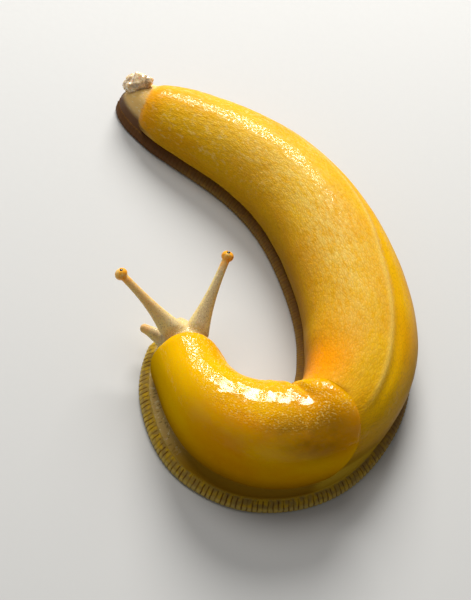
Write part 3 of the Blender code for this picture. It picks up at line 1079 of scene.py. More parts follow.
    def build(self) -> bpy.types.Object:
        """Builds the finished skin with the masks that its finish reads.

        Returns:
            The skin, in metres.
        """
        skin = self.join()
        shape = bmesh.new()
        shape.from_mesh(skin.data)
        bmesh.ops.remove_doubles(shape, verts=shape.verts, dist=self.weld_gap)
        back, foot, lobe = Flesh.BACK, Flesh.FOOT, Flesh.TAIL_LOBE
        tentacle_seams = [(Flesh.TENTACLE, other) for other in Flesh if other is not Flesh.TENTACLE]
        self.soften(shape, [(back, foot), (foot, lobe)], self.foot_fillet, 1)
        self.soften(shape, [(back, Flesh.MANTLE)], self.mantle_fillet, 1)
        self.soften(shape, [(back, lobe), (back, Flesh.LIPS)], self.end_fillet, 2)
        self.soften(shape, tentacle_seams, self.tentacle_fillet, self.tentacle_rounds)
        mapper = Mapper(self)
        shape.normal_update()
        layers = {name: shape.verts.layers.float.new(name) for name in MASKS}
        place_layer = shape.verts.layers.float_vector.new(PLACE_LAYER)
        for vertex in shape.verts:
            place = mapper.read(vertex)
            out = self.relief.height(place)
            if place.flesh is Flesh.MANTLE:
                out -= self.relief.pore(place, self.mantle)
            vertex.co += vertex.normal * out
            vertex.co.z = max(vertex.co.z, 0.0)
            vertex[place_layer] = Vector((place.station, place.across, place.height))
            for name, layer in layers.items():
                vertex[layer] = getattr(place, name)
        return settle(shape, skin)


@dataclass
class Place:
    """Where a point of the skin lies, and how much of each marking, painted shade and painted sheen it
    has.
    """

    station: float
    height: float
    across: float
    flesh: Flesh
    mantle_inside: float = 1.0
    open_back: float = 1.0
    grainy: float = 1.0
    # The darker tint low on the flanks, the darkening low on the fringe and tail, the shade by the
    # mantle's edges and the mantle's dark clouds are painted shade; the pale middle of the back, the
    # ridge's line and the tail's whitish flecks are painted sheen and highlights.
    flank: float = 0.0
    pale: float = 0.0
    orange: float = 0.0
    head: float = 0.0
    band: float = 0.0
    spots: float = 0.0
    fringe: float = 0.0
    groove: float = 0.0
    ribbed: float = 0.0
    rim: float = 0.0
    sole: float = 0.0
    dusk_shade: float = 0.0
    stalk: float = 0.0
    knob: float = 0.0
    core: float = 0.0
    lobe: float = 0.0
    shade: float = 0.0
    ridge: float = 0.0
    shade_patch: float = 0.0
    glint_mottles: float = 0.0
    yellow: float = 0.0


NOT_MASKS = ("station", "height", "across", "flesh", "mantle_inside", "open_back")
MASKS = tuple(part.name for part in fields(Place) if part.name not in NOT_MASKS)


@dataclass
class Mapper:
    """Reads the place of every point of the skin from where it is, with its markings and its painted
    shade and sheen.

    A zone gives the values where a marking has none and all of its strength, a hump its centre
    and its width.
    """

    skin: Skin
    tree: kdtree.KDTree = None
    head_middle: tuple = (166.0, 3.0, 9.0)
    head_reach: float = 26.0
    head_start: float = 150.0
    # Painted shade: how the flank darkens as the skin turns down, weaker on the tail.
    flank_rise: tuple = (0.72, -0.15)
    flank_start: tuple = (30.0, 75.0)
    tail_flank: float = 0.4
    head_zone: tuple = (158.0, 161.5)
    sole_height: tuple = (0.3, 0.02)
    sole_inset: tuple = (0.2, 0.8)
    sole_start: tuple = (0.3, 1.2)
    # Painted shade on the fringe: where it comes in towards the tail and how much of it lies at the
    # tail's end.
    fringe_dusk: tuple = (122.0, 100.0)
    fringe_tail_dusk: tuple = (30.0, 14.0)
    tail_dusk_share: float = 0.2
    rib_fading: float = 0.6
    rib_inset: tuple = (1.9, 1.5)
    rib_height: tuple = (0.15, 0.45)
    rim: tuple = (0.1, 0.28)
    band_height: tuple = (5.6, 4.4)
    band_start: tuple = (106.0, 120.0)
    band_behind: float = 0.2
    spots_start: tuple = (138.0, 146.0)
    open_height: tuple = (3.6, 5.4)
    open_start: tuple = (5.0, 9.0)
    # Painted shade low on the tail and its lobe.
    tail_dusk_height: tuple = (6.4, 4.4)
    tail_dark_height: tuple = (5.4, 4.4)
    tail_dark_end: tuple = (14.0, 9.0)
    lobe_end: tuple = (8.6, 6.4)
    lobe_tint: float = 0.35
    lobe_openness: float = 0.5
    # Painted shade just outside the mantle's edge: where it darkens the back, and how much weaker it is
    # on the speckled band.
    crease_shade_zone: tuple = (-2.0, -0.1)
    crease_shade_fading: float = 0.8
    # Where the painted highlight along the shoulder's ridge runs.
    ridge_start: tuple = (36.0, 60.0)
    ridge_end: tuple = (114.0, 104.0)
    ridge: tuple = (0.0, 0.55)
    smooth_start: tuple = (26.0, 50.0)
    smooth_side: tuple = (0.4, -1.6)
    side_smoothness: float = 0.85
    flank_smoothness: float = 0.8
    # Painted sheen: a pale streaky band along the middle of the back.
    pale: tuple = (62.0, 36.0)
    sheen_across: tuple = (2.8, 7.2)
    # Painted highlight: whitish flecks over the hind back and tail.
    glint_end: tuple = (62.0, 30.0)
    glint_start: tuple = (7.0, 11.0)
    glint_side: tuple = (17.0, 12.0)
    orange: tuple = (105.5, 7.5)
    orange_side: tuple = (-2.0, 11.0)
    orange_tail: tuple = (14.0, 6.0)
    orange_strength: tuple = (1.2, 0.6)
    mantle_flat_edge: tuple = (0.2, 1.8)
    # Painted shade on the mantle near its edges, weaker at its front, and low on its right side.
    mantle_rim: tuple = (0.0, 2.6)
    mantle_front: tuple = (146.0, 152.0)
    rim_fading: float = 0.6
    low_shade: float = 0.8
    mantle_low: tuple = (-13.5, -19.0)
    mantle_grain_right: tuple = (-5.5, -1.0)
    mantle_grain_left: tuple = (14.0, 10.0)
    yellow_start: tuple = (134.0, 148.0)
    yellow_side: tuple = (10.0, 3.0)
    # Painted shade in dark clouds on the mantle's right side: station, across, half length, half width,
    # strength.
    mantle_clouds: tuple = (
        (125.4, -3.8, 6.0, 4.0, 0.95), (122.4, -7.2, 5.0, 3.6, 0.8), (119.8, -3.2, 4.0, 3.0, 0.5),
    )
    cloud_reach: float = 1.5
    stalk_radii: tuple = (2.2, 1.2)
    stalk_start: tuple = (0.0, 0.16)
    stalk_root: tuple = (0.0, 0.1)
    stalk_reach: float = 1.5
    knob_size: float = 1.1
    knob_blend: tuple = (-0.16, 0.08)
    warm_zone: tuple = (0.1, 0.5)

    def __post_init__(self) -> None:
        """Builds the search tree."""
        self.tree = self.skin.body.tree()
        self.head_point = self.skin.body.place(*self.head_middle)

    def groove_count(self, station: float) -> float:
        """How many grooves of the fringe lie before a station.

        Args:
            station: the station.

        Returns:
            The number, running on evenly between two grooves.
        """
        rings = self.skin.edge_stations
        low, high = 0, len(rings) - 1
        while high - low > 1:
            middle = (low + high) // 2
            low, high = (middle, high) if rings[middle] <= station else (low, middle)
        share = (station - rings[low]) / max(rings[high] - rings[low], TINY)
        return (low + min(max(share, 0.0), 1.0)) / self.skin.rings_a_groove

    def read(self, vertex: bmesh.types.BMVert) -> Place:
        """The place of a vertex of the skin, with all its markings.

        Args:
            vertex: the vertex.

        Returns:
            The place.
        """
        body = self.skin.body
        station, left = body.nearest(vertex.co, self.tree)
        height = vertex.co.z
        kinds = [face.material_index for face in vertex.link_faces]
        flesh = Flesh(max(set(kinds), key=kinds.count)) if kinds else Flesh.BACK
        on_line = min(max(station, 0.0), body.length)
        top = body.back_height.at(on_line)
        bulge = body.bulge_share * top
        half = max(body.half(on_line, left > 0), 1.0)
        turn = math.atan2((height - bulge) / (top - bulge), left / half)
        if turn < -math.pi / 2:
            turn += math.tau
        place = Place(station, height, (turn - math.pi / 2) * ROUND_RADIUS, flesh)
        # Painted shade: the flank darkens as the skin turns down, weaker towards the tail; the same
        # mask calms the grain and the gloss there.
        place.flank = ease(*self.flank_rise, math.sin(turn))
        place.flank *= self.tail_flank + (1 - self.tail_flank) * ease(*self.flank_start, station)
        place.head = ease(*self.head_zone, station) if flesh is not Flesh.MANTLE else 0.0
        if flesh is Flesh.FOOT:
            self.read_foot(place, body.foot_edge(on_line, left > 0) - abs(left))
        self.read_tail_and_band(place)
        self.read_back(place, self.skin.relief.ridge_line.at(on_line))
        if flesh is Flesh.MANTLE:
            self.read_mantle(place, turn)
        elif flesh is Flesh.BACK:
            # Painted shade: the back darkens within 2 mm outside the mantle's edge, less on the
            # speckled band.
            place.shade = ease(*self.crease_shade_zone, self.inside_mantle(place, turn))
            place.shade *= 1 - self.crease_shade_fading * place.spots
        if station > self.head_start and (vertex.co - self.head_point).length < self.head_reach:
            self.read_tentacles(place, vertex)
        return place

    def read_foot(self, place: Place, inset: float) -> None:
        """The markings of the sole and of the grooved fringe, and the painted shade on the fringe
        towards the tail.

        Args:
            place: the place on the foot.
            inset: how far inside the foot's edge it lies.
        """
        station, height = place.station, place.height
        place.sole = ease(*self.sole_height, height) * ease(*self.sole_inset, inset)
        place.sole *= ease(*self.sole_start, station)
        place.fringe = 1 - place.sole
        place.groove = self.groove_count(station)
        # Painted shade: the fringe darkens towards the tail, more near its end.
        place.dusk_shade = (1 - self.tail_dusk_share) * ease(*self.fringe_dusk, station)
        place.dusk_shade += self.tail_dusk_share * ease(*self.fringe_tail_dusk, station)
        place.ribbed = ease(*self.rib_inset, inset) * ease(*self.rib_height, height)
        place.ribbed *= 1 - self.rib_fading * place.dusk_shade
        place.rim = hump(*self.rim, inset) * (1 - place.dusk_shade)

    def read_tail_and_band(self, place: Place) -> None:
        """The tail's lobe with the painted shade low on its side, and the speckled band below the
        mantle.

        Args:
            place: the place on the skin.
        """
        station, height, flesh = place.station, place.height, place.flesh
        if flesh in (Flesh.BACK, Flesh.LIPS):
            low = ease(*self.band_height, height)
            front = ease(*self.band_start, station)
            place.band = low * (self.band_behind + (1 - self.band_behind) * front)
            place.spots = low * ease(*self.spots_start, station)
            place.open_back = ease(*self.open_height, height) * ease(*self.open_start, station)
        if flesh is Flesh.TAIL_LOBE:
            place.lobe, place.open_back = 1.0, self.lobe_openness
            # Painted shade low on the lobe.
            place.dusk_shade = ease(*self.tail_dusk_height, height)
        if flesh is Flesh.BACK:
            # Painted shade low on the tail's side.
            shade_end = ease(*self.tail_dark_end, station)
            shaded_side = ease(*self.tail_dark_height, height) * shade_end
            place.lobe = max(ease(*self.lobe_end, station) * self.lobe_tint, shaded_side)
            place.dusk_shade = ease(*self.tail_dusk_height, height) * shade_end

    def read_back(self, place: Place, line: float) -> None:
        """The back's ridge with its painted highlight line, the painted sheen along its middle, the
        painted highlight flecks on the tail and the orange notch.

        Args:
            place: the place on the skin.
            line: how far across the ridge runs here.
        """
        station, across = place.station, place.across
        # Painted highlight along the shoulder's ridge, over its raised shape.
        reach = ease(*self.ridge_start, station) * ease(*self.ridge_end, station)
        place.ridge = hump(*self.ridge, across - line) * reach
        outside = ease(*self.smooth_side, across - line) * ease(*self.smooth_start, station)
        place.grainy = 1 - self.side_smoothness * outside
        place.grainy *= 1 - self.flank_smoothness * place.flank
        # Painted sheen along the middle of the back.
        place.pale = hump(*self.pale, station) * hump(*self.sheen_across, across) * (1 - outside)
        # Painted highlight: whitish flecks over the hind back and tail.
        place.glint_mottles = ease(*self.glint_end, station) * ease(*self.glint_start, station)
        place.glint_mottles *= ease(*self.glint_side, across)
        notch, tail = self.orange_strength
        notch *= hump(*self.orange, station) * ease(*self.orange_side, across)
        place.orange = min(notch + tail * ease(*self.orange_tail, station), 1.0)

    def inside_mantle(self, place: Place, turn: float) -> float:
        """How far a place lies inside the mantle's edge, in millimetres; negative outside.

        Args:
            place: the place on the skin.
            turn: its angle round the cross-section, in radians.

        Returns:
            The shortest of the distances to the four edges.
        """
        degrees, mantle = math.degrees(turn), self.skin.mantle
        left, right = mantle.left_edge.at(place.station), mantle.right_edge.at(place.station)
        sideways = min(degrees - left, right - degrees) * MM_A_DEGREE
        return min(sideways, place.station - mantle.start, mantle.end - place.station)

    def read_mantle(self, place: Place, turn: float) -> None:
        """The markings of the mantle, with the painted shade along its edges, low on its right side and
        in its dark clouds.

        Args:
            place: the place on the mantle.
            turn: its angle round the cross-section, in radians.
        """
        station, across = place.station, place.across
        inside = self.inside_mantle(place, turn)
        place.mantle_inside = ease(*self.mantle_flat_edge, inside)
        # Painted shade: darker within 2.6 mm of the mantle's edge, less at its front, and low on its
        # right side.
        place.shade = 1 - ease(*self.mantle_rim, inside)
        place.shade *= 1 - self.rim_fading * ease(*self.mantle_front, station)
        place.shade = max(place.shade, self.low_shade * ease(*self.mantle_low, across))
        place.grainy = ease(*self.mantle_grain_right, across) * ease(*self.mantle_grain_left, across)
        # Painted shade in dark clouds on the mantle's right side.
        for middle, side, long, wide, strength in self.mantle_clouds:
            reach = math.hypot((station - middle) / long, (across - side) / wide)
            place.shade_patch += (1 - place.shade_patch) * strength * ease(self.cloud_reach, 0.0, reach)
        place.yellow = ease(*self.yellow_start, station) * ease(*self.yellow_side, across)

    def read_tentacles(self, place: Place, vertex: bmesh.types.BMVert) -> None:
        """The markings of the tentacles.

        Args:
            place: the place near the head.
            vertex: the vertex there.
        """
        for tentacle in self.skin.tentacles:
            share, radii, upward = tentacle.share_at(vertex.co)
            on_it = ease(*self.stalk_radii, radii) * ease(*self.stalk_start, share)
            if place.flesh is Flesh.TENTACLE and radii < self.stalk_reach:
                on_it = max(on_it, ease(*self.stalk_root, share))
            if on_it > place.stalk:
                place.stalk = on_it
                start = 1 - tentacle.knob_share() * self.knob_size
                low, high = (start + blend for blend in self.knob_blend)
                knob = ease(low, high, share) * tentacle.knob_tint
                place.knob = max(knob, tentacle.warmth * ease(*self.warm_zone, share))
                # The core's purple-grey is painted on the faces that turn up or down: partly the core's
                # own colour seen through the stalk, partly painted shade, the paler sides standing in
                # for light through the stalk's edges.
                place.core = upward * tentacle.core_tint


def mesh_counts(made: bpy.types.Object) -> str:
    """The numbers of points and triangles of an object, for the log."""
    triangles = sum(len(face.vertices) - 2 for face in made.data.polygons)
    return f"{len(made.data.vertices)} points, {triangles} triangles"


Socket = bpy.types.NodeSocket


class Wires:
    """Adds and joins the nodes of one node tree; an input takes a socket or a plain value."""

    def __init__(self, tree: bpy.types.NodeTree) -> None:
        """Keeps the tree."""
        self.tree = tree

    def feed(self, node: bpy.types.Node, inputs: dict) -> None:
        """Sets or joins inputs of a node.

        Args:
            node: the node.
            inputs: sockets, values or colours by input name or number.
        """
        for name, value in inputs.items():
            if isinstance(value, Socket):
                self.tree.links.new(value, node.inputs[name])
            else:
                node.inputs[name].default_value = value

    def node(self, kind: str, inputs: dict | None = None, **settings: object) -> bpy.types.Node:
        """Adds a node.

        Args:
            kind: the node's type.
            inputs: sockets or values by input name or number.
            **settings: the node's own properties.

        Returns:
            The node.
        """
        made = self.tree.nodes.new(kind)
        for name, value in settings.items():
            setattr(made, name, value)
        self.feed(made, inputs or {})
        return made

    def math(self, operation: str, *values: Socket | float) -> Socket:
        """The result of a Math node on sockets or values."""
        return self.node("ShaderNodeMath", dict(enumerate(values)), operation=operation).outputs[0]

    def times(self, first: Socket | float, second: Socket | float) -> Socket:
        """The product of two values."""
        return self.math("MULTIPLY", first, second)

    def mix(self, share: Socket | float, first: Socket | tuple, second: Socket | tuple) -> Socket:
        """A colour mixed from two.

        Args:
            share: how much of the second it has.
            first: the first colour.
            second: the second colour.

        Returns:
            The socket of the mixed colour.
        """
        first, second = ((*c, 1.0) if isinstance(c, tuple) else c for c in (first, second))
        inputs = {0: share, 6: first, 7: second}
        return self.node("ShaderNodeMix", inputs, data_type="RGBA").outputs[2]

    def lay(self, ground: Socket, layers: tuple) -> Socket:
        """Lays colours over a ground, one after another.

        Args:
            ground: the colour below.
            layers: for each layer its colour, where it lies, and how strongly.

        Returns:
            The socket of the colour on top.
        """
        for colour, mask, share in layers:
            ground = self.mix(mask if share == 1.0 else self.times(mask, share), ground, colour)
        return ground

    def span(
        self, value: Socket, low: float, high: float, start: float = 0.0, end: float = 1.0
    ) -> Socket:
        """A value brought smoothly to another range.

        Args:
            value: the value.
            low: where it starts; low may be above high.
            high: where it ends.
            start: what low becomes.
            end: what high becomes.

        Returns:
            The socket of the result.
        """
        inputs = {"Value": value, "From Min": low, "From Max": high, "To Min": start, "To Max": end}
        made = self.node("ShaderNodeMapRange", inputs, interpolation_type="SMOOTHSTEP")
        return made.outputs["Result"]

    def mask(self, name: str) -> Socket:
        """A mask that the mesh carries."""
        return self.node("ShaderNodeAttribute", attribute_name=name).outputs["Fac"]

    def body_place(self) -> Socket:
        """The place on the body in millimetres, which the mesh carries."""
        return self.node("ShaderNodeAttribute", attribute_name=PLACE_LAYER).outputs["Vector"]

    def object_place(self) -> Socket:
        """The place in space, in metres."""
        return self.node("ShaderNodeTexCoord").outputs["Object"]

    def scaled(self, vector: Socket, scale: tuple) -> Socket:
        """A vector stretched along its three directions."""
        return self.node("ShaderNodeMapping", {"Vector": vector, "Scale": scale}).outputs[0]

    def noise(
        self, vector: Socket, scale: Socket | float, detail: float = 2.0, roughness: float = 0.5
    ) -> Socket:
        """A soft noise.

        Args:
            vector: the place.
            scale: how fine it is.
            detail: how many finer noises lie on it.
            roughness: how strong the finer ones are.

        Returns:
            The socket of its value.
        """
        inputs = {"Vector": vector, "Scale": scale, "Detail": detail, "Roughness": roughness}
        return self.node("ShaderNodeTexNoise", inputs).outputs[0]


def new_group(name: str, inputs: dict, outputs: tuple) -> tuple:
    """A shader node group with named sockets.

    Args:
        name: the group's name.
        inputs: default values by name; None stands for a vector.
        outputs: names of the values it puts out.

    Returns:
        The group, its wires, its input node and its output node.
    """
    tree = bpy.data.node_groups.new(name, "ShaderNodeTree")
    for title, value in inputs.items():
        kind = "NodeSocketVector" if value is None else "NodeSocketFloat"
        socket = tree.interface.new_socket(title, in_out="INPUT", socket_type=kind)
        if value is not None:
            socket.default_value = value
    for title in outputs:
        tree.interface.new_socket(title, in_out="OUTPUT", socket_type="NodeSocketFloat")
    wires = Wires(tree)
    return tree, wires, wires.node("NodeGroupInput"), wires.node("NodeGroupOutput")


@dataclass
class Effects:
    """The shader node groups that several finishes share."""

    bend_scale: float = 0.6
    bend_reach: tuple = (0.9, 0.9, 0.0)
    rugae_depth: float = 50.0
    dome_edge: float = 0.32
    furrow_edge: float = 0.10
    grain_noise: tuple = (4.0, 3.0, 0.6)
    fleck_limit: float = 0.78
    fleck_range: float = 0.4
    rugae: bpy.types.NodeTree = None
    flecks: bpy.types.NodeTree = None

    def __post_init__(self) -> None:
        """Builds the groups once."""
        self.rugae = self.build_rugae()
        self.flecks = self.build_flecks()

    def build_rugae(self) -> bpy.types.NodeTree:
        """Long low tubercles with furrows between them, and fine grain on them.

        Returns:
            The group, with the tubercles' height and the mask of the furrows.
        """
        defaults = {"Place": None, "Length": 1.2, "Width": 0.5, "Grain": 0.3}
        tree, wires, start, end = new_group("Rugae", defaults, ("Height", "Furrow"))
        given = start.outputs
        sides = {0: given["Length"], 1: given["Width"], 2: self.rugae_depth}
        size = wires.node("ShaderNodeCombineXYZ", sides).outputs[0]
        shrunk = wires.node("ShaderNodeVectorMath", {0: given["Place"], 1: size}, operation="DIVIDE")
        scaled = shrunk.outputs[0]
        waves = {"Vector": scaled, "Scale": self.bend_scale, "Detail": 1.0}
        bend = wires.node("ShaderNodeTexNoise", waves).outputs["Color"]
        bent = wires.node(
            "ShaderNodeVectorMath", {0: bend, 1: self.bend_reach, 2: scaled}, operation="MULTIPLY_ADD"
        ).outputs[0]
        cells = {"Vector": bent, "Scale": 1.0}
        edge = wires.node("ShaderNodeTexVoronoi", cells, feature="DISTANCE_TO_EDGE").outputs["Distance"]
        grain = wires.times(wires.noise(scaled, *self.grain_noise), given["Grain"])
        height = wires.math("ADD", wires.span(edge, 0.0, self.dome_edge), grain)
        wires.feed(end, {"Height": height, "Furrow": wires.span(edge, self.furrow_edge, 0.0)})
        return tree

    def build_flecks(self) -> bpy.types.NodeTree:
        """Small irregular specks of one size.

        Returns:
            The group, with the mask of the specks.
        """
        defaults = {"Place": None, "Size": 0.5, "Amount": 0.5, "Softness": 0.12}
        tree, wires, start, end = new_group("Flecks", defaults, ("Mask",))
        given = start.outputs
        fine = wires.noise(given["Place"], wires.math("DIVIDE", 1.0, given["Size"]))
        limit = wires.math("SUBTRACT", self.fleck_limit, wires.times(given["Amount"], self.fleck_range))
        soft = wires.math("DIVIDE", wires.math("SUBTRACT", fine, limit), given["Softness"])
        wires.feed(end, {"Mask": wires.node("ShaderNodeClamp", {"Value": soft}).outputs[0]})
        return tree


@dataclass(frozen=True)
class Clouds:
    """Soft noise: its scale, its detail, the span that is read and what that span becomes."""

    scale: tuple | float
    detail: float
    low: float
    high: float
    start: float = 0.0
    end: float = 1.0
    roughness: float = 0.5

    def on(self, wires: Wires, place: Socket) -> Socket:
        """The clouds over a place.

        Args:
            wires: the material's wires.
            place: the place.

        Returns:
            The socket of their value.
        """
        scale = self.scale
        if isinstance(scale, tuple):
            place, scale = wires.scaled(place, scale), 1.0
        value = wires.noise(place, scale, self.detail, self.roughness)
        return wires.span(value, self.low, self.high, self.start, self.end)


@dataclass(frozen=True)
class Specks:
    """Irregular specks: their size, how many there are, how soft they are and their stretch."""

    size: float
    amount: float
    softness: float
    stretch: tuple | None = None

    def on(self, wires: Wires, effects: Effects, place: Socket) -> Socket:
        """The mask of the specks over a place.

        Args:
            wires: the material's wires.
            effects: the shared groups.
            place: the place.

        Returns:
            The socket of the mask.
        """
        if self.stretch:
            place = wires.scaled(place, self.stretch)
        inputs = {"Place": place, "Size": self.size, "Amount": self.amount, "Softness": self.softness}
        return wires.node("ShaderNodeGroup", inputs, node_tree=effects.flecks).outputs["Mask"]


@dataclass(frozen=True)
class Rugae:
    """Tubercles: their length, width and grain, and how far they stand out as bumps."""

    length: float
    width: float
    grain: float
    strength: float
    height: float

    def on(self, wires: Wires, effects: Effects, place: Socket) -> tuple:
        """The tubercles over a place.

        Args:
            wires: the material's wires.
            effects: the shared groups.
            place: the place.

        Returns:
            The sockets of their height and of the furrows between them.
        """
        inputs = {"Place": place, "Length": self.length, "Width": self.width, "Grain": self.grain}
        made = wires.node("ShaderNodeGroup", inputs, node_tree=effects.rugae)
        return made.outputs["Height"], made.outputs["Furrow"]

    def normal(self, wires: Wires, height: Socket) -> Socket:
        """The bumped normal of a height."""
        inputs = {"Height": height, "Strength": self.strength, "Distance": self.height}
        return wires.node("ShaderNodeBump", inputs).outputs[0]


def new_material(name: str) -> tuple:
    """A material with an empty Principled shader.

    Args:
        name: the material's name.

    Returns:
        The material, its wires and its shader.
    """
    made = bpy.data.materials.new(name)
    made.use_nodes = True
    return made, Wires(made.node_tree), made.node_tree.nodes["Principled BSDF"]


@dataclass(frozen=True)
class WetFlesh:
    """How light meets wet, soft skin: the numbers that are the same all over."""

    glow: float = 0.15
    glow_scale: float = 0.0014
    glow_radius: tuple = (1.0, 0.55, 0.08)
    coat_roughness: float = 0.1
    ior: float = 1.38
    mirror: float = 0.05

    def set_on(self, wires: Wires, shader: bpy.types.Node) -> None:
        """Sets them on a shader's own sockets.

        Args:
            wires: the material's wires.
            shader: its Principled shader.
        """
        wires.feed(shader, {
            "Subsurface Weight": self.glow, "Subsurface Scale": self.glow_scale,
            "Subsurface Radius": self.glow_radius, "Coat Roughness": self.coat_roughness,
            "IOR": self.ior, "Specular IOR Level": self.mirror,
        })


@dataclass(frozen=True)
class BodyFinish:
    """Banana-yellow skin with rugae, the speckled band, the grooved fringe, head and tentacles, with
    painted shade and painted sheen and highlights.
    """

    effects: Effects
    wet: WetFlesh = WetFlesh()
    golden: tuple = (0.76, 0.415, 0.001)
    deep: tuple = (0.71, 0.335, 0.001)
    # Painted sheen: the pale colour along the back's middle and on the shoulder's ridge.
    cream_sheen: tuple = (0.80, 0.59, 0.15)
    # Painted highlight in whitish flecks on the hind back.
    glint_mottle: tuple = (0.91, 0.74, 0.30)
    # Painted shade that darkens the lower flanks.
    olive: tuple = (0.26, 0.135, 0.001)
    orange: tuple = (0.92, 0.33, 0.001)
    furrow: tuple = (0.40, 0.19, 0.001)
    # Painted shade along the outside of the mantle's edge.
    crease_shade: tuple = (0.23, 0.085, 0.001)
    band: tuple = (0.56, 0.355, 0.02)
    band_beige: tuple = (0.60, 0.45, 0.20)
    band_dark: tuple = (0.10, 0.062, 0.012)
    band_pale: tuple = (0.78, 0.66, 0.36)
    fringe: tuple = (0.34, 0.225, 0.055)
    # Painted shade on the fringe towards the tail.
    fringe_dark: tuple = (0.15, 0.07, 0.03)
    fringe_rim: tuple = (0.62, 0.47, 0.14)
    fringe_groove: tuple = (0.13, 0.052, 0.004)
    head: tuple = (0.68, 0.50, 0.20)
    head_pale: tuple = (0.86, 0.74, 0.52)
    head_dark: tuple = (0.26, 0.16, 0.11)
    stalk: tuple = (0.86, 0.68, 0.28)
    stalk_core: tuple = (0.46, 0.34, 0.25)
    knob: tuple = (0.98, 0.40, 0.02)
    knob_pale: tuple = (0.98, 0.66, 0.24)
    lobe: tuple = (0.80, 0.52, 0.18)
    lobe_white: tuple = (0.90, 0.76, 0.50)
    # Painted shade low on the lobe and the tail's side.
    lobe_side_shade: tuple = (0.15, 0.07, 0.03)
    sole: tuple = (0.50, 0.40, 0.22)
    rugae: Rugae = Rugae(1.3, 0.5, 0.7, 0.3, 0.00012)
    patches: Clouds = Clouds((0.05, 0.10, 0.1), 3.0, 0.35, 0.65)
    sheen_clouds: Clouds = Clouds((0.4, 1.3, 0.1), 6.0, 0.34, 0.64, 0.1, 0.85, 0.75)
    glint_specks: Specks = Specks(1.1, 0.6, 0.35, (0.75, 1.0, 0.3))
    lobe_specks: Specks = Specks(0.9, 0.5, 0.2)
    head_light_specks: Specks = Specks(0.3, 0.6, 0.1)
    head_dark_specks: Specks = Specks(0.24, 0.5, 0.1)
    band_dark_specks: Specks = Specks(0.34, 0.5, 0.1)
    band_pale_specks: Specks = Specks(0.42, 0.5, 0.1, (0.7, 1.0, 1.3))
    wobble_scale: float = 0.9
    groove_wobble: float = 0.5
    groove_width: tuple = (0.27, 0.45)
    fringe_clouds: Clouds = Clouds(1.3, 3.0, 0.4, 0.65)
    groove_clouds: Clouds = Clouds((1.0, 0.6, 0.6), 2.0, 0.35, 0.6, 0.4, 1.0)
    core_zone: tuple = (0.55, 0.98)
    core_strength: float = 0.6
    stalk_specks: Specks = Specks(0.26, 0.52, 0.08)
    stalk_light_specks: Specks = Specks(0.3, 0.56, 0.08, (1.1, 0.9, 1.0))
    knob_clouds: Clouds = Clouds(0.8, 2.0, 0.42, 0.75)
    dryness: Clouds = Clouds((0.12, 0.2, 0.2), 4.0, 0.35, 0.7, 0.36, 0.52)
    wetness: Clouds = Clouds((0.08, 0.12, 0.2), 3.0, 0.36, 0.6, 0.35, 1.0)
    drops: Specks = Specks(0.42, 0.66, 0.14, (0.7, 1.0, 0.0))
    drop_range: tuple = (0.95, 0.05)
    gloss_zone: tuple = (0.35, 0.08, 0.05, 1.0)
    calm_fringe: float = 0.8

    def specks_within(self, wires: Wires, specks: Specks, place: Socket, mask: str) -> Socket:
        """Specks that lie only where a mask is.

        Args:
            wires: the material's wires.
            specks: the specks.
            place: the place on the body.
            mask: the mask's name.

        Returns:
            The socket of their mask.
        """
        return wires.times(specks.on(wires, self.effects, place), wires.mask(mask))

    def colour(self, wires: Wires, place: Socket, furrows: Socket) -> Socket:
        """The colour of the skin, with its painted shade and painted sheen and highlights.

        Args:
            wires: the material's wires.
            place: the place on the body.
            furrows: the mask of the furrows between the rugae.

        Returns:
            The socket of the colour.
        """
        mask = wires.mask
        white = self.lobe_specks.on(wires, self.effects, place)
        lobe = wires.mix(mask("dusk_shade"), wires.mix(white, self.lobe, self.lobe_white), self.lobe_side_shade)
        head_light = self.specks_within(wires, self.head_light_specks, place, "head")
        head_dark = self.specks_within(wires, self.head_dark_specks, place, "head")
        band_dark = self.specks_within(wires, self.band_dark_specks, place, "spots")
        band_pale = self.specks_within(wires, self.band_pale_specks, place, "spots")
        glint_mottles = self.specks_within(wires, self.glint_specks, place, "glint_mottles")
        ground = wires.mix(self.patches.on(wires, place), self.golden, self.deep)
        return wires.lay(ground, (
            # painted sheen along the middle of the back
            (self.cream_sheen, wires.times(mask("pale"), self.sheen_clouds.on(wires, place)), 1.0),
            (self.orange, mask("orange"), 1.0),
            # painted highlight along the shoulder's ridge
            (self.cream_sheen, mask("ridge"), 0.5),
            # painted highlight flecks on the hind back
            (self.glint_mottle, glint_mottles, 0.75),
            (self.furrow, furrows, 0.35),
            # painted shade low on the flanks
            (self.olive, mask("flank"), 0.82),
            (lobe, mask("lobe"), 1.0),
            (self.head, mask("head"), 1.0),
            (self.head_pale, head_light, 0.9),
            (self.head_dark, head_dark, 0.75),
            (self.band, mask("band"), 1.0),
            (self.band_beige, mask("spots"), 0.7),
            (self.band_dark, band_dark, 0.6),
            (self.band_pale, band_pale, 0.9),
            # painted shade just outside the mantle's edge
            (self.crease_shade, mask("shade"), 0.62),
            (self.fringe_colour(wires, place), mask("fringe"), 1.0),
            (self.tentacle_colour(wires), mask("stalk"), 1.0),
            (self.sole, mask("sole"), 1.0),
        ))

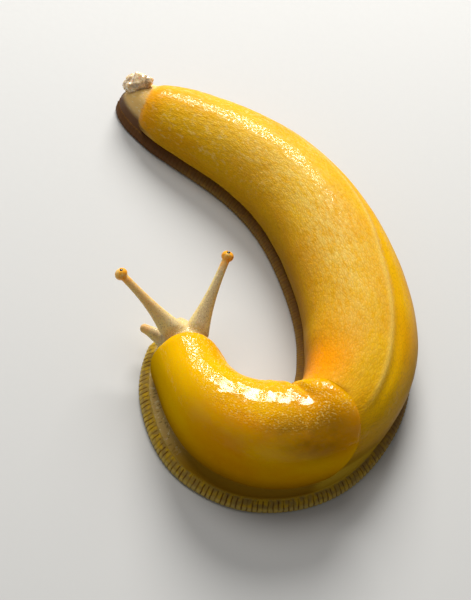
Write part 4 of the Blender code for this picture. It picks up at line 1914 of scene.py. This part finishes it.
    def fringe_colour(self, wires: Wires, place: Socket) -> Socket:
        """The colour of the fringe with its dark grooves and its painted shade towards the tail.

        Args:
            wires: the material's wires.
            place: the place on the body.

        Returns:
            The socket of the colour.
        """
        wobble = wires.times(wires.noise(place, self.wobble_scale), self.groove_wobble)
        shifted = wires.math("SUBTRACT", wobble, self.groove_wobble / 2)
        phase = wires.math("FRACT", wires.math("ADD", wires.mask("groove"), shifted))
        away = wires.math("ABSOLUTE", wires.math("SUBTRACT", phase, 0.5))
        groove = wires.times(wires.span(away, *self.groove_width), wires.mask("ribbed"))
        groove = wires.times(groove, self.groove_clouds.on(wires, place))
        ground = wires.mix(self.fringe_clouds.on(wires, place), self.fringe, self.band)
        return wires.lay(ground, (
            # painted shade on the fringe towards the tail
            (self.fringe_dark, wires.mask("dusk_shade"), 1.0),
            (self.fringe_rim, wires.mask("rim"), 0.7),
            (self.fringe_groove, groove, 0.9),
        ))

    def tentacle_colour(self, wires: Wires) -> Socket:
        """The tentacles' beige, with a purple-grey speckled core, partly painted shade on their upper
        and lower faces, and orange knobs.

        Args:
            wires: the material's wires.

        Returns:
            The socket of the colour.
        """
        place = wires.scaled(wires.object_place(), TO_MM)
        knob = wires.mix(self.knob_clouds.on(wires, place), self.knob, self.knob_pale)
        core = wires.times(wires.span(wires.mask("core"), *self.core_zone), self.core_strength)
        return wires.lay(wires.mix(core, self.stalk, self.stalk_core), (
            (self.head_dark, self.stalk_specks.on(wires, self.effects, place), 0.6),
            (self.band_pale, self.stalk_light_specks.on(wires, self.effects, place), 0.7),
            (knob, wires.mask("knob"), 1.0),
        ))

    def material(self) -> bpy.types.Material:
        """Builds the material.

        Returns:
            The material of all the flesh but the mantle.
        """
        made, wires, shader = new_material("banana_yellow_skin")
        self.wet.set_on(wires, shader)
        place = wires.body_place()
        height, furrows = self.rugae.on(wires, self.effects, place)
        drops = wires.math("MULTIPLY_ADD", self.drops.on(wires, self.effects, place), *self.drop_range)
        drops = wires.times(drops, wires.span(wires.mask("flank"), *self.gloss_zone))
        calm = wires.math("SUBTRACT", 1.0, wires.times(wires.mask("fringe"), self.calm_fringe))
        height = wires.times(height, wires.times(calm, wires.mask("grainy")))
        wires.feed(shader, {
            "Base Color": self.colour(wires, place, furrows),
            "Roughness": self.dryness.on(wires, place),
            "Coat Weight": wires.times(self.wetness.on(wires, place), drops),
            "Normal": self.rugae.normal(wires, height),
        })
        return made


@dataclass(frozen=True)
class MantleFinish:
    """The mantle's smoother golden-orange skin, with a fine grain that breaks up its gloss, painted
    shade and painted sparkles.
    """

    effects: Effects
    wet: WetFlesh = WetFlesh(coat_roughness=0.08, mirror=0.0)
    golden: tuple = (0.80, 0.43, 0.001)
    deep: tuple = (0.74, 0.31, 0.001)
    # Painted shade that darkens the mantle's lower side.
    olive: tuple = (0.34, 0.175, 0.001)
    yellow: tuple = (0.84, 0.48, 0.001)
    # Painted shade in the dark clouds on the mantle's right side.
    cloud: tuple = (0.22, 0.115, 0.001)
    # Painted shade along the mantle's edges and low on its right side.
    rim: tuple = (0.17, 0.06, 0.001)
    # Painted highlight: pale sparkles where the fine drops lie on the upper mantle.
    painted_sparkle: tuple = (0.95, 0.72, 0.24)
    patches: Clouds = Clouds((0.07, 0.1, 0.1), 3.0, 0.36, 0.64)
    shade_clouds: Clouds = Clouds((0.22, 0.3, 0.1), 3.0, 0.25, 0.6, 0.35, 0.85)
    fine_drops: Specks = Specks(0.45, 0.54, 0.12)
    sparse_drops: Specks = Specks(0.6, 0.54, 0.08)
    painted_sparkle_zone: tuple = (0.6, 0.0, 0.0, 0.65)
    front_zone: tuple = (0.95, 0.6)
    dryness: Clouds = Clouds((0.2, 0.25, 0.2), 4.0, 0.35, 0.7, 0.28, 0.42)
    wetness: Clouds = Clouds((0.3, 0.36, 0.2), 4.0, 0.38, 0.62)
    wet_share: float = 0.9
    drop_range: tuple = (0.92, 0.08)
    gloss_flank: tuple = (0.06, 0.0)
    gloss_edge: tuple = (0.3, 0.02)
    grain: Rugae = Rugae(0.6, 0.5, 0.9, 0.4, 0.00014)

    def colour(self, wires: Wires, place: Socket, drops: Socket) -> Socket:
        """The colour of the mantle, with its painted shade and painted sparkles.

        Args:
            wires: the material's wires.
            place: the place on the body.
            drops: the mask of the fine drops, where pale sparkles are painted as highlights.

        Returns:
            The socket of the colour.
        """
        mask = wires.mask
        # Painted highlight: pale sparkles on the grainy upper mantle, none at its edges.
        painted_sparkle = wires.times(drops, mask("grainy"))
        painted_sparkle = wires.times(painted_sparkle, wires.span(mask("shade"), *self.painted_sparkle_zone))
        ground = wires.mix(self.patches.on(wires, place), self.golden, self.deep)
        return wires.lay(ground, (
            (self.yellow, mask("yellow"), 0.75),
            # painted shade low on the mantle
            (self.olive, mask("flank"), 0.7),
            # painted shade in dark clouds
            (self.cloud, wires.times(mask("shade_patch"), self.shade_clouds.on(wires, place)), 1.0),
            # painted shade along the mantle's edges
            (self.rim, mask("shade"), 0.82),
            # painted highlight sparkles
            (self.painted_sparkle, painted_sparkle, 1.0),
        ))

    def gloss(self, wires: Wires, place: Socket, drops: Socket) -> Socket:
        """How much wet coat the mantle has: drops and wet patches on its upper side.

        Args:
            wires: the material's wires.
            place: the place on the body.
            drops: the mask of the fine drops.

        Returns:
            The socket of the coat's weight.
        """
        wet = wires.times(self.wetness.on(wires, place), self.wet_share)
        behind = wires.span(wires.mask("yellow"), *self.front_zone)
        gloss = wires.times(wires.math("MAXIMUM", drops, wet), behind)
        gloss = wires.math("MAXIMUM", gloss, self.sparse_drops.on(wires, self.effects, place))
        gloss = wires.math("MULTIPLY_ADD", gloss, *self.drop_range)
        upper = wires.span(wires.mask("flank"), *self.gloss_flank)
        return wires.times(gloss, wires.times(upper, wires.span(wires.mask("shade"), *self.gloss_edge)))

    def material(self) -> bpy.types.Material:
        """Builds the material.

        Returns:
            The mantle's material.
        """
        made, wires, shader = new_material("mantle_golden_skin")
        self.wet.set_on(wires, shader)
        place = wires.body_place()
        drops = self.fine_drops.on(wires, self.effects, place)
        height, _ = self.grain.on(wires, self.effects, place)
        wires.feed(shader, {
            "Base Color": self.colour(wires, place, drops),
            "Roughness": self.dryness.on(wires, place),
            "Coat Weight": self.gloss(wires, place, drops),
            "Normal": self.grain.normal(wires, wires.times(height, wires.mask("grainy"))),
        })
        return made


@dataclass(frozen=True)
class EyeFinish:
    """The glossy black of an eye, with a faint brown cloud in it."""

    black: tuple = (0.006, 0.005, 0.005)
    brown: tuple = (0.03, 0.016, 0.010)
    coat_roughness: float = 0.03
    brown_clouds: Clouds = Clouds(2600.0, 3.0, 0.45, 0.7)
    dryness: Clouds = Clouds(2600.0, 3.0, 0.3, 0.7, 0.08, 0.22)

    def material(self) -> bpy.types.Material:
        """Builds the material.

        Returns:
            The material of both eyes.
        """
        made, wires, shader = new_material("eye_black")
        place = wires.object_place()
        wires.feed(shader, {
            "Coat Weight": 1.0,
            "Coat Roughness": self.coat_roughness,
            "Base Color": wires.mix(self.brown_clouds.on(wires, place), self.black, self.brown),
            "Roughness": self.dryness.on(wires, place),
        })
        return made


@dataclass(frozen=True)
class SlimeFinish:
    """Milky, half-clear slime with trapped grey and white flecks."""

    effects: Effects
    wet: WetFlesh = WetFlesh(
        glow=0.8, glow_scale=0.0016, glow_radius=(1.0, 0.85, 0.6), mirror=0.4
    )
    milky: tuple = (0.76, 0.58, 0.35)
    grey: tuple = (0.50, 0.37, 0.23)
    white: tuple = (0.88, 0.76, 0.55)
    grey_clouds: Clouds = Clouds(0.7, 4.0, 0.42, 0.62)
    white_specks: Specks = Specks(0.7, 0.62, 0.2)
    dryness: Clouds = Clouds(1.1, 3.0, 0.35, 0.7, 0.12, 0.4)
    wetness: Clouds = Clouds(0.5, 2.0, 0.35, 0.6, 0.6, 1.0)
    lumps: tuple = (1.6, 4.0, 0.65)
    lump_strength: float = 0.35
    lump_height: float = 0.0003

    def material(self) -> bpy.types.Material:
        """Builds the material.

        Returns:
            The material of the slime plug.
        """
        made, wires, shader = new_material("dried_slime")
        self.wet.set_on(wires, shader)
        place = wires.scaled(wires.object_place(), TO_MM)
        colour = wires.mix(self.grey_clouds.on(wires, place), self.milky, self.grey)
        white = self.white_specks.on(wires, self.effects, place)
        bump = wires.node("ShaderNodeBump", {
            "Height": wires.noise(place, *self.lumps),
            "Strength": self.lump_strength, "Distance": self.lump_height,
        })
        wires.feed(shader, {
            "Base Color": wires.mix(white, colour, self.white),
            "Roughness": self.dryness.on(wires, place),
            "Coat Weight": self.wetness.on(wires, place),
            "Normal": bump.outputs[0],
        })
        return made


@dataclass(frozen=True)
class FloorFinish:
    """Pale matt studio floor with a faint grain."""

    pale: tuple = (0.63, 0.64, 0.66)
    paler: tuple = (0.635, 0.645, 0.665)
    grain_scale: float = 900.0
    dryness: Clouds = Clouds(900.0, 2.0, 0.3, 0.7, 0.75, 0.85)

    def material(self) -> bpy.types.Material:
        """Builds the material.

        Returns:
            The floor's material.
        """
        made, wires, shader = new_material("pale_floor")
        place = wires.object_place()
        wires.feed(shader, {
            "Base Color": wires.mix(wires.noise(place, self.grain_scale), self.pale, self.paler),
            "Roughness": self.dryness.on(wires, place),
        })
        return made


@dataclass
class SlimePlug:
    """A knobbly plug of slime over the caudal pit, melted together from round lumps."""

    body: Body
    # The lumps' middles, as station, left and height, and their three radii.
    lumps: tuple = (
        ((4.0, 1.9, 8.9), (2.2, 2.1, 2.0)),
        ((3.0, 2.6, 9.6), (1.3, 1.2, 1.2)),
        ((5.4, 2.5, 9.6), (1.4, 1.2, 1.1)),
        ((2.3, 2.4, 7.6), (2.2, 1.9, 1.7)),
        ((1.3, 2.1, 6.0), (1.6, 1.9, 1.6)),
        ((2.9, 0.6, 7.9), (2.0, 1.7, 1.4)),
    )
    segments: int = 40
    fuse_gap: float = 0.16
    melting: int = 24
    # The knobs' fineness and height.
    knobs: tuple = ((0.8, 0.35), (1.9, 0.18))

    def build(self) -> bpy.types.Object:
        """Builds the plug, its surface lumpy all over.

        Returns:
            The plug, in metres.
        """
        parts = [
            object_of("slime_plug", ball(
                self.body.place(*centre), radii, self.body.tail_heading, self.segments
            ))
            for centre, radii in self.lumps
        ]
        plug = parts[0]
        for part in parts[1:]:
            combine(plug, part)
        fusing = plug.modifiers.new("Fuse", "REMESH")
        fusing.mode, fusing.voxel_size = "VOXEL", self.fuse_gap
        apply_modifiers(plug)
        plug.data.materials.clear()
        shape = bmesh.new()
        shape.from_mesh(plug.data)
        for _ in range(self.melting):
            smooth(shape, shape.verts)
        shape.normal_update()
        for vertex in shape.verts:
            lump = sum(noise.noise(vertex.co * fineness) * high for fineness, high in self.knobs)
            vertex.co += vertex.normal * lump
        return settle(shape, plug)


@dataclass
class Eye:
    """One round eye, sunk in the knob of an upper tentacle."""

    name: str
    centre: Vector
    radius: float

    def build(self) -> bpy.types.Object:
        """Builds the eye in metres."""
        return settle(ball(self.centre, (self.radius,) * 3), blank_object(self.name))


@dataclass(frozen=True)
class Lamp:
    """A round soft light: the direction to it, its distance, diameter, power and tint."""

    name: str
    away: tuple
    distance: float
    size: float
    watts: float
    tint: tuple = (1.0, 0.97, 0.90)
    mirrored: bool = True

    def hang(self, target: Vector) -> None:
        """Hangs the light so that it looks at a point.

        Args:
            target: the point, in metres.
        """
        data = bpy.data.lights.new(self.name, "AREA")
        data.shape, data.size, data.energy, data.color = "DISK", self.size, self.watts, self.tint
        made = bpy.data.objects.new(self.name, data)
        made.visible_glossy = self.mirrored
        direction = Vector(self.away).normalized()
        turn = direction.to_track_quat("Z", "Y").to_matrix().to_4x4()
        made.matrix_world = Matrix.Translation(target + direction * self.distance) @ turn
        bpy.context.scene.collection.objects.link(made)


@dataclass
class Studio:
    """The pale floor, the soft lights and the camera at the photo's angle."""

    target: Vector = field(default_factory=lambda: Vector((-0.0012, -0.0057, 0.008)))
    elevation: float = math.radians(54.0)
    roll: float = math.radians(16.0)
    distance: float = 0.4
    focal_pixels: float = 1860.465
    photo_height: int = 600
    sensor: float = 36.0
    clip: tuple = (0.01, 20.0)
    floor_size: float = 6.0
    floor_segments: int = 8
    lamps: tuple = (
        Lamp("key_light", (-0.16, 0.84, 0.52), 0.7, 0.36, 6.8),
        Lamp("top_light", (-0.30, 0.35, 0.89), 0.9, 0.5, 2.8, mirrored=False),
    )
    sky: tuple = (1.0, 0.98, 0.93, 1.0)
    sky_strength: float = 0.17

    def floor(self) -> None:
        """Lays the floor."""
        shape, count = bmesh.new(), self.floor_segments
        bmesh.ops.create_grid(shape, x_segments=count, y_segments=count, size=self.floor_size)
        made = object_of("studio_floor", shape)
        made.data.materials.append(FloorFinish().material())

    def lights(self) -> None:
        """Hangs the key light behind the slug and the top light, in an even dim sky."""
        for lamp in self.lamps:
            lamp.hang(self.target)
        world = bpy.data.worlds.new("studio_sky")
        world.use_nodes = True
        background = world.node_tree.nodes["Background"]
        background.inputs["Color"].default_value = self.sky
        background.inputs["Strength"].default_value = self.sky_strength
        bpy.context.scene.world = world
        bpy.context.scene.view_settings.view_transform = "Standard"

    def camera(self) -> None:
        """Sets the camera at the photo's height, turn and viewing angle."""
        data = bpy.data.cameras.new("photo_camera")
        data.sensor_fit, data.sensor_height = "VERTICAL", self.sensor
        data.lens = self.focal_pixels * self.sensor / self.photo_height
        data.clip_start, data.clip_end = self.clip
        back = Vector((0.0, -math.cos(self.elevation), math.sin(self.elevation)))
        level = Vector((0.0, math.sin(self.elevation), math.cos(self.elevation)))
        right = Vector((1.0, 0.0, 0.0)) * math.cos(self.roll) + level * math.sin(self.roll)
        up = level * math.cos(self.roll) - Vector((1.0, 0.0, 0.0)) * math.sin(self.roll)
        made = bpy.data.objects.new("photo_camera", data)
        turn = Matrix((right, up, back)).transposed().to_4x4()
        made.matrix_world = Matrix.Translation(self.target + back * self.distance) @ turn
        bpy.context.scene.collection.objects.link(made)
        bpy.context.scene.camera = made


def tentacles_of(body: Body) -> list:
    """The four tentacles.

    Args:
        body: the body they stand on.

    Returns:
        The upper left and right, then the lower left and right. Each has its root and its tip
        as station, left and height.
    """
    low = {
        "bow": 0.3, "root_radius": 2.0, "stalk_radius": 0.90, "knob_radius": 1.0, "slimming": 1.6,
        "knob_tint": 0.35, "has_eye": False,
    }
    return [
        Tentacle(
            body, root=(162.3, 2.5, 9.4), tip=(171.6, 14.8, 18.0), bow=0.5,
            root_radius=2.7, stalk_radius=0.84, knob_radius=1.40, slimming=2.9,
            warmth=0.3, core_tint=0.85,
        ),
        Tentacle(
            body, root=(162.9, -2.8, 9.2), tip=(177.2, -9.5, 18.0), bow=0.6,
            root_radius=2.7, stalk_radius=0.82, knob_radius=1.34, slimming=2.8,
        ),
        Tentacle(body, root=(162.6, 4.0, 5.6), tip=(165.8, 8.6, 5.5), **low),
        Tentacle(body, root=(164.0, -2.9, 5.4), tip=(168.4, -5.2, 5.0), **low),
    ]


def main() -> None:
    """Builds and dresses the slug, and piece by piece."""
    logging.basicConfig(level=logging.INFO, format="%(name)s: %(message)s")
    body, effects = Body(), Effects()
    tentacles = tentacles_of(body)

    skin = Skin(body, Mantle(body), tentacles).build()
    yellow = BodyFinish(effects).material()
    golden = MantleFinish(effects).material()
    for flesh in Flesh:
        skin.data.materials[flesh.value] = golden if flesh is Flesh.MANTLE else yellow
    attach(skin, "root")
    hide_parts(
        "tail", "torso_hind", "torso_middle", "torso_front", "neck", "head", "mantle",
        "foot_tail", "foot_hind", "foot_middle", "foot_front", "foot_neck", "foot_head",
        "upper_tentacle_left", "upper_tentacle_right", "lower_tentacle_left",
        "lower_tentacle_right", "tail_tip",
    )
    LOG.info("skin: %s", mesh_counts(skin))

    black = EyeFinish().material()
    for side, tentacle in (("left", tentacles[0]), ("right", tentacles[1])):
        eye = Eye(f"round_eye_{side}", tentacle.eye_place(), tentacle.eye_radius).build()
        eye.data.materials.append(black)
        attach(eye, "root")
        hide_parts(f"eye_{side}")
        LOG.info("eye on the %s: %s", side, mesh_counts(eye))

    plug = SlimePlug(body).build()
    plug.data.materials.append(SlimeFinish(effects).material())
    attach(plug, "root")
    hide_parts("caudal_plug")
    LOG.info("slime plug: %s", mesh_counts(plug))

    studio = Studio()
    studio.floor()
    studio.lights()
    studio.camera()


if __name__ == "__main__":
    main()
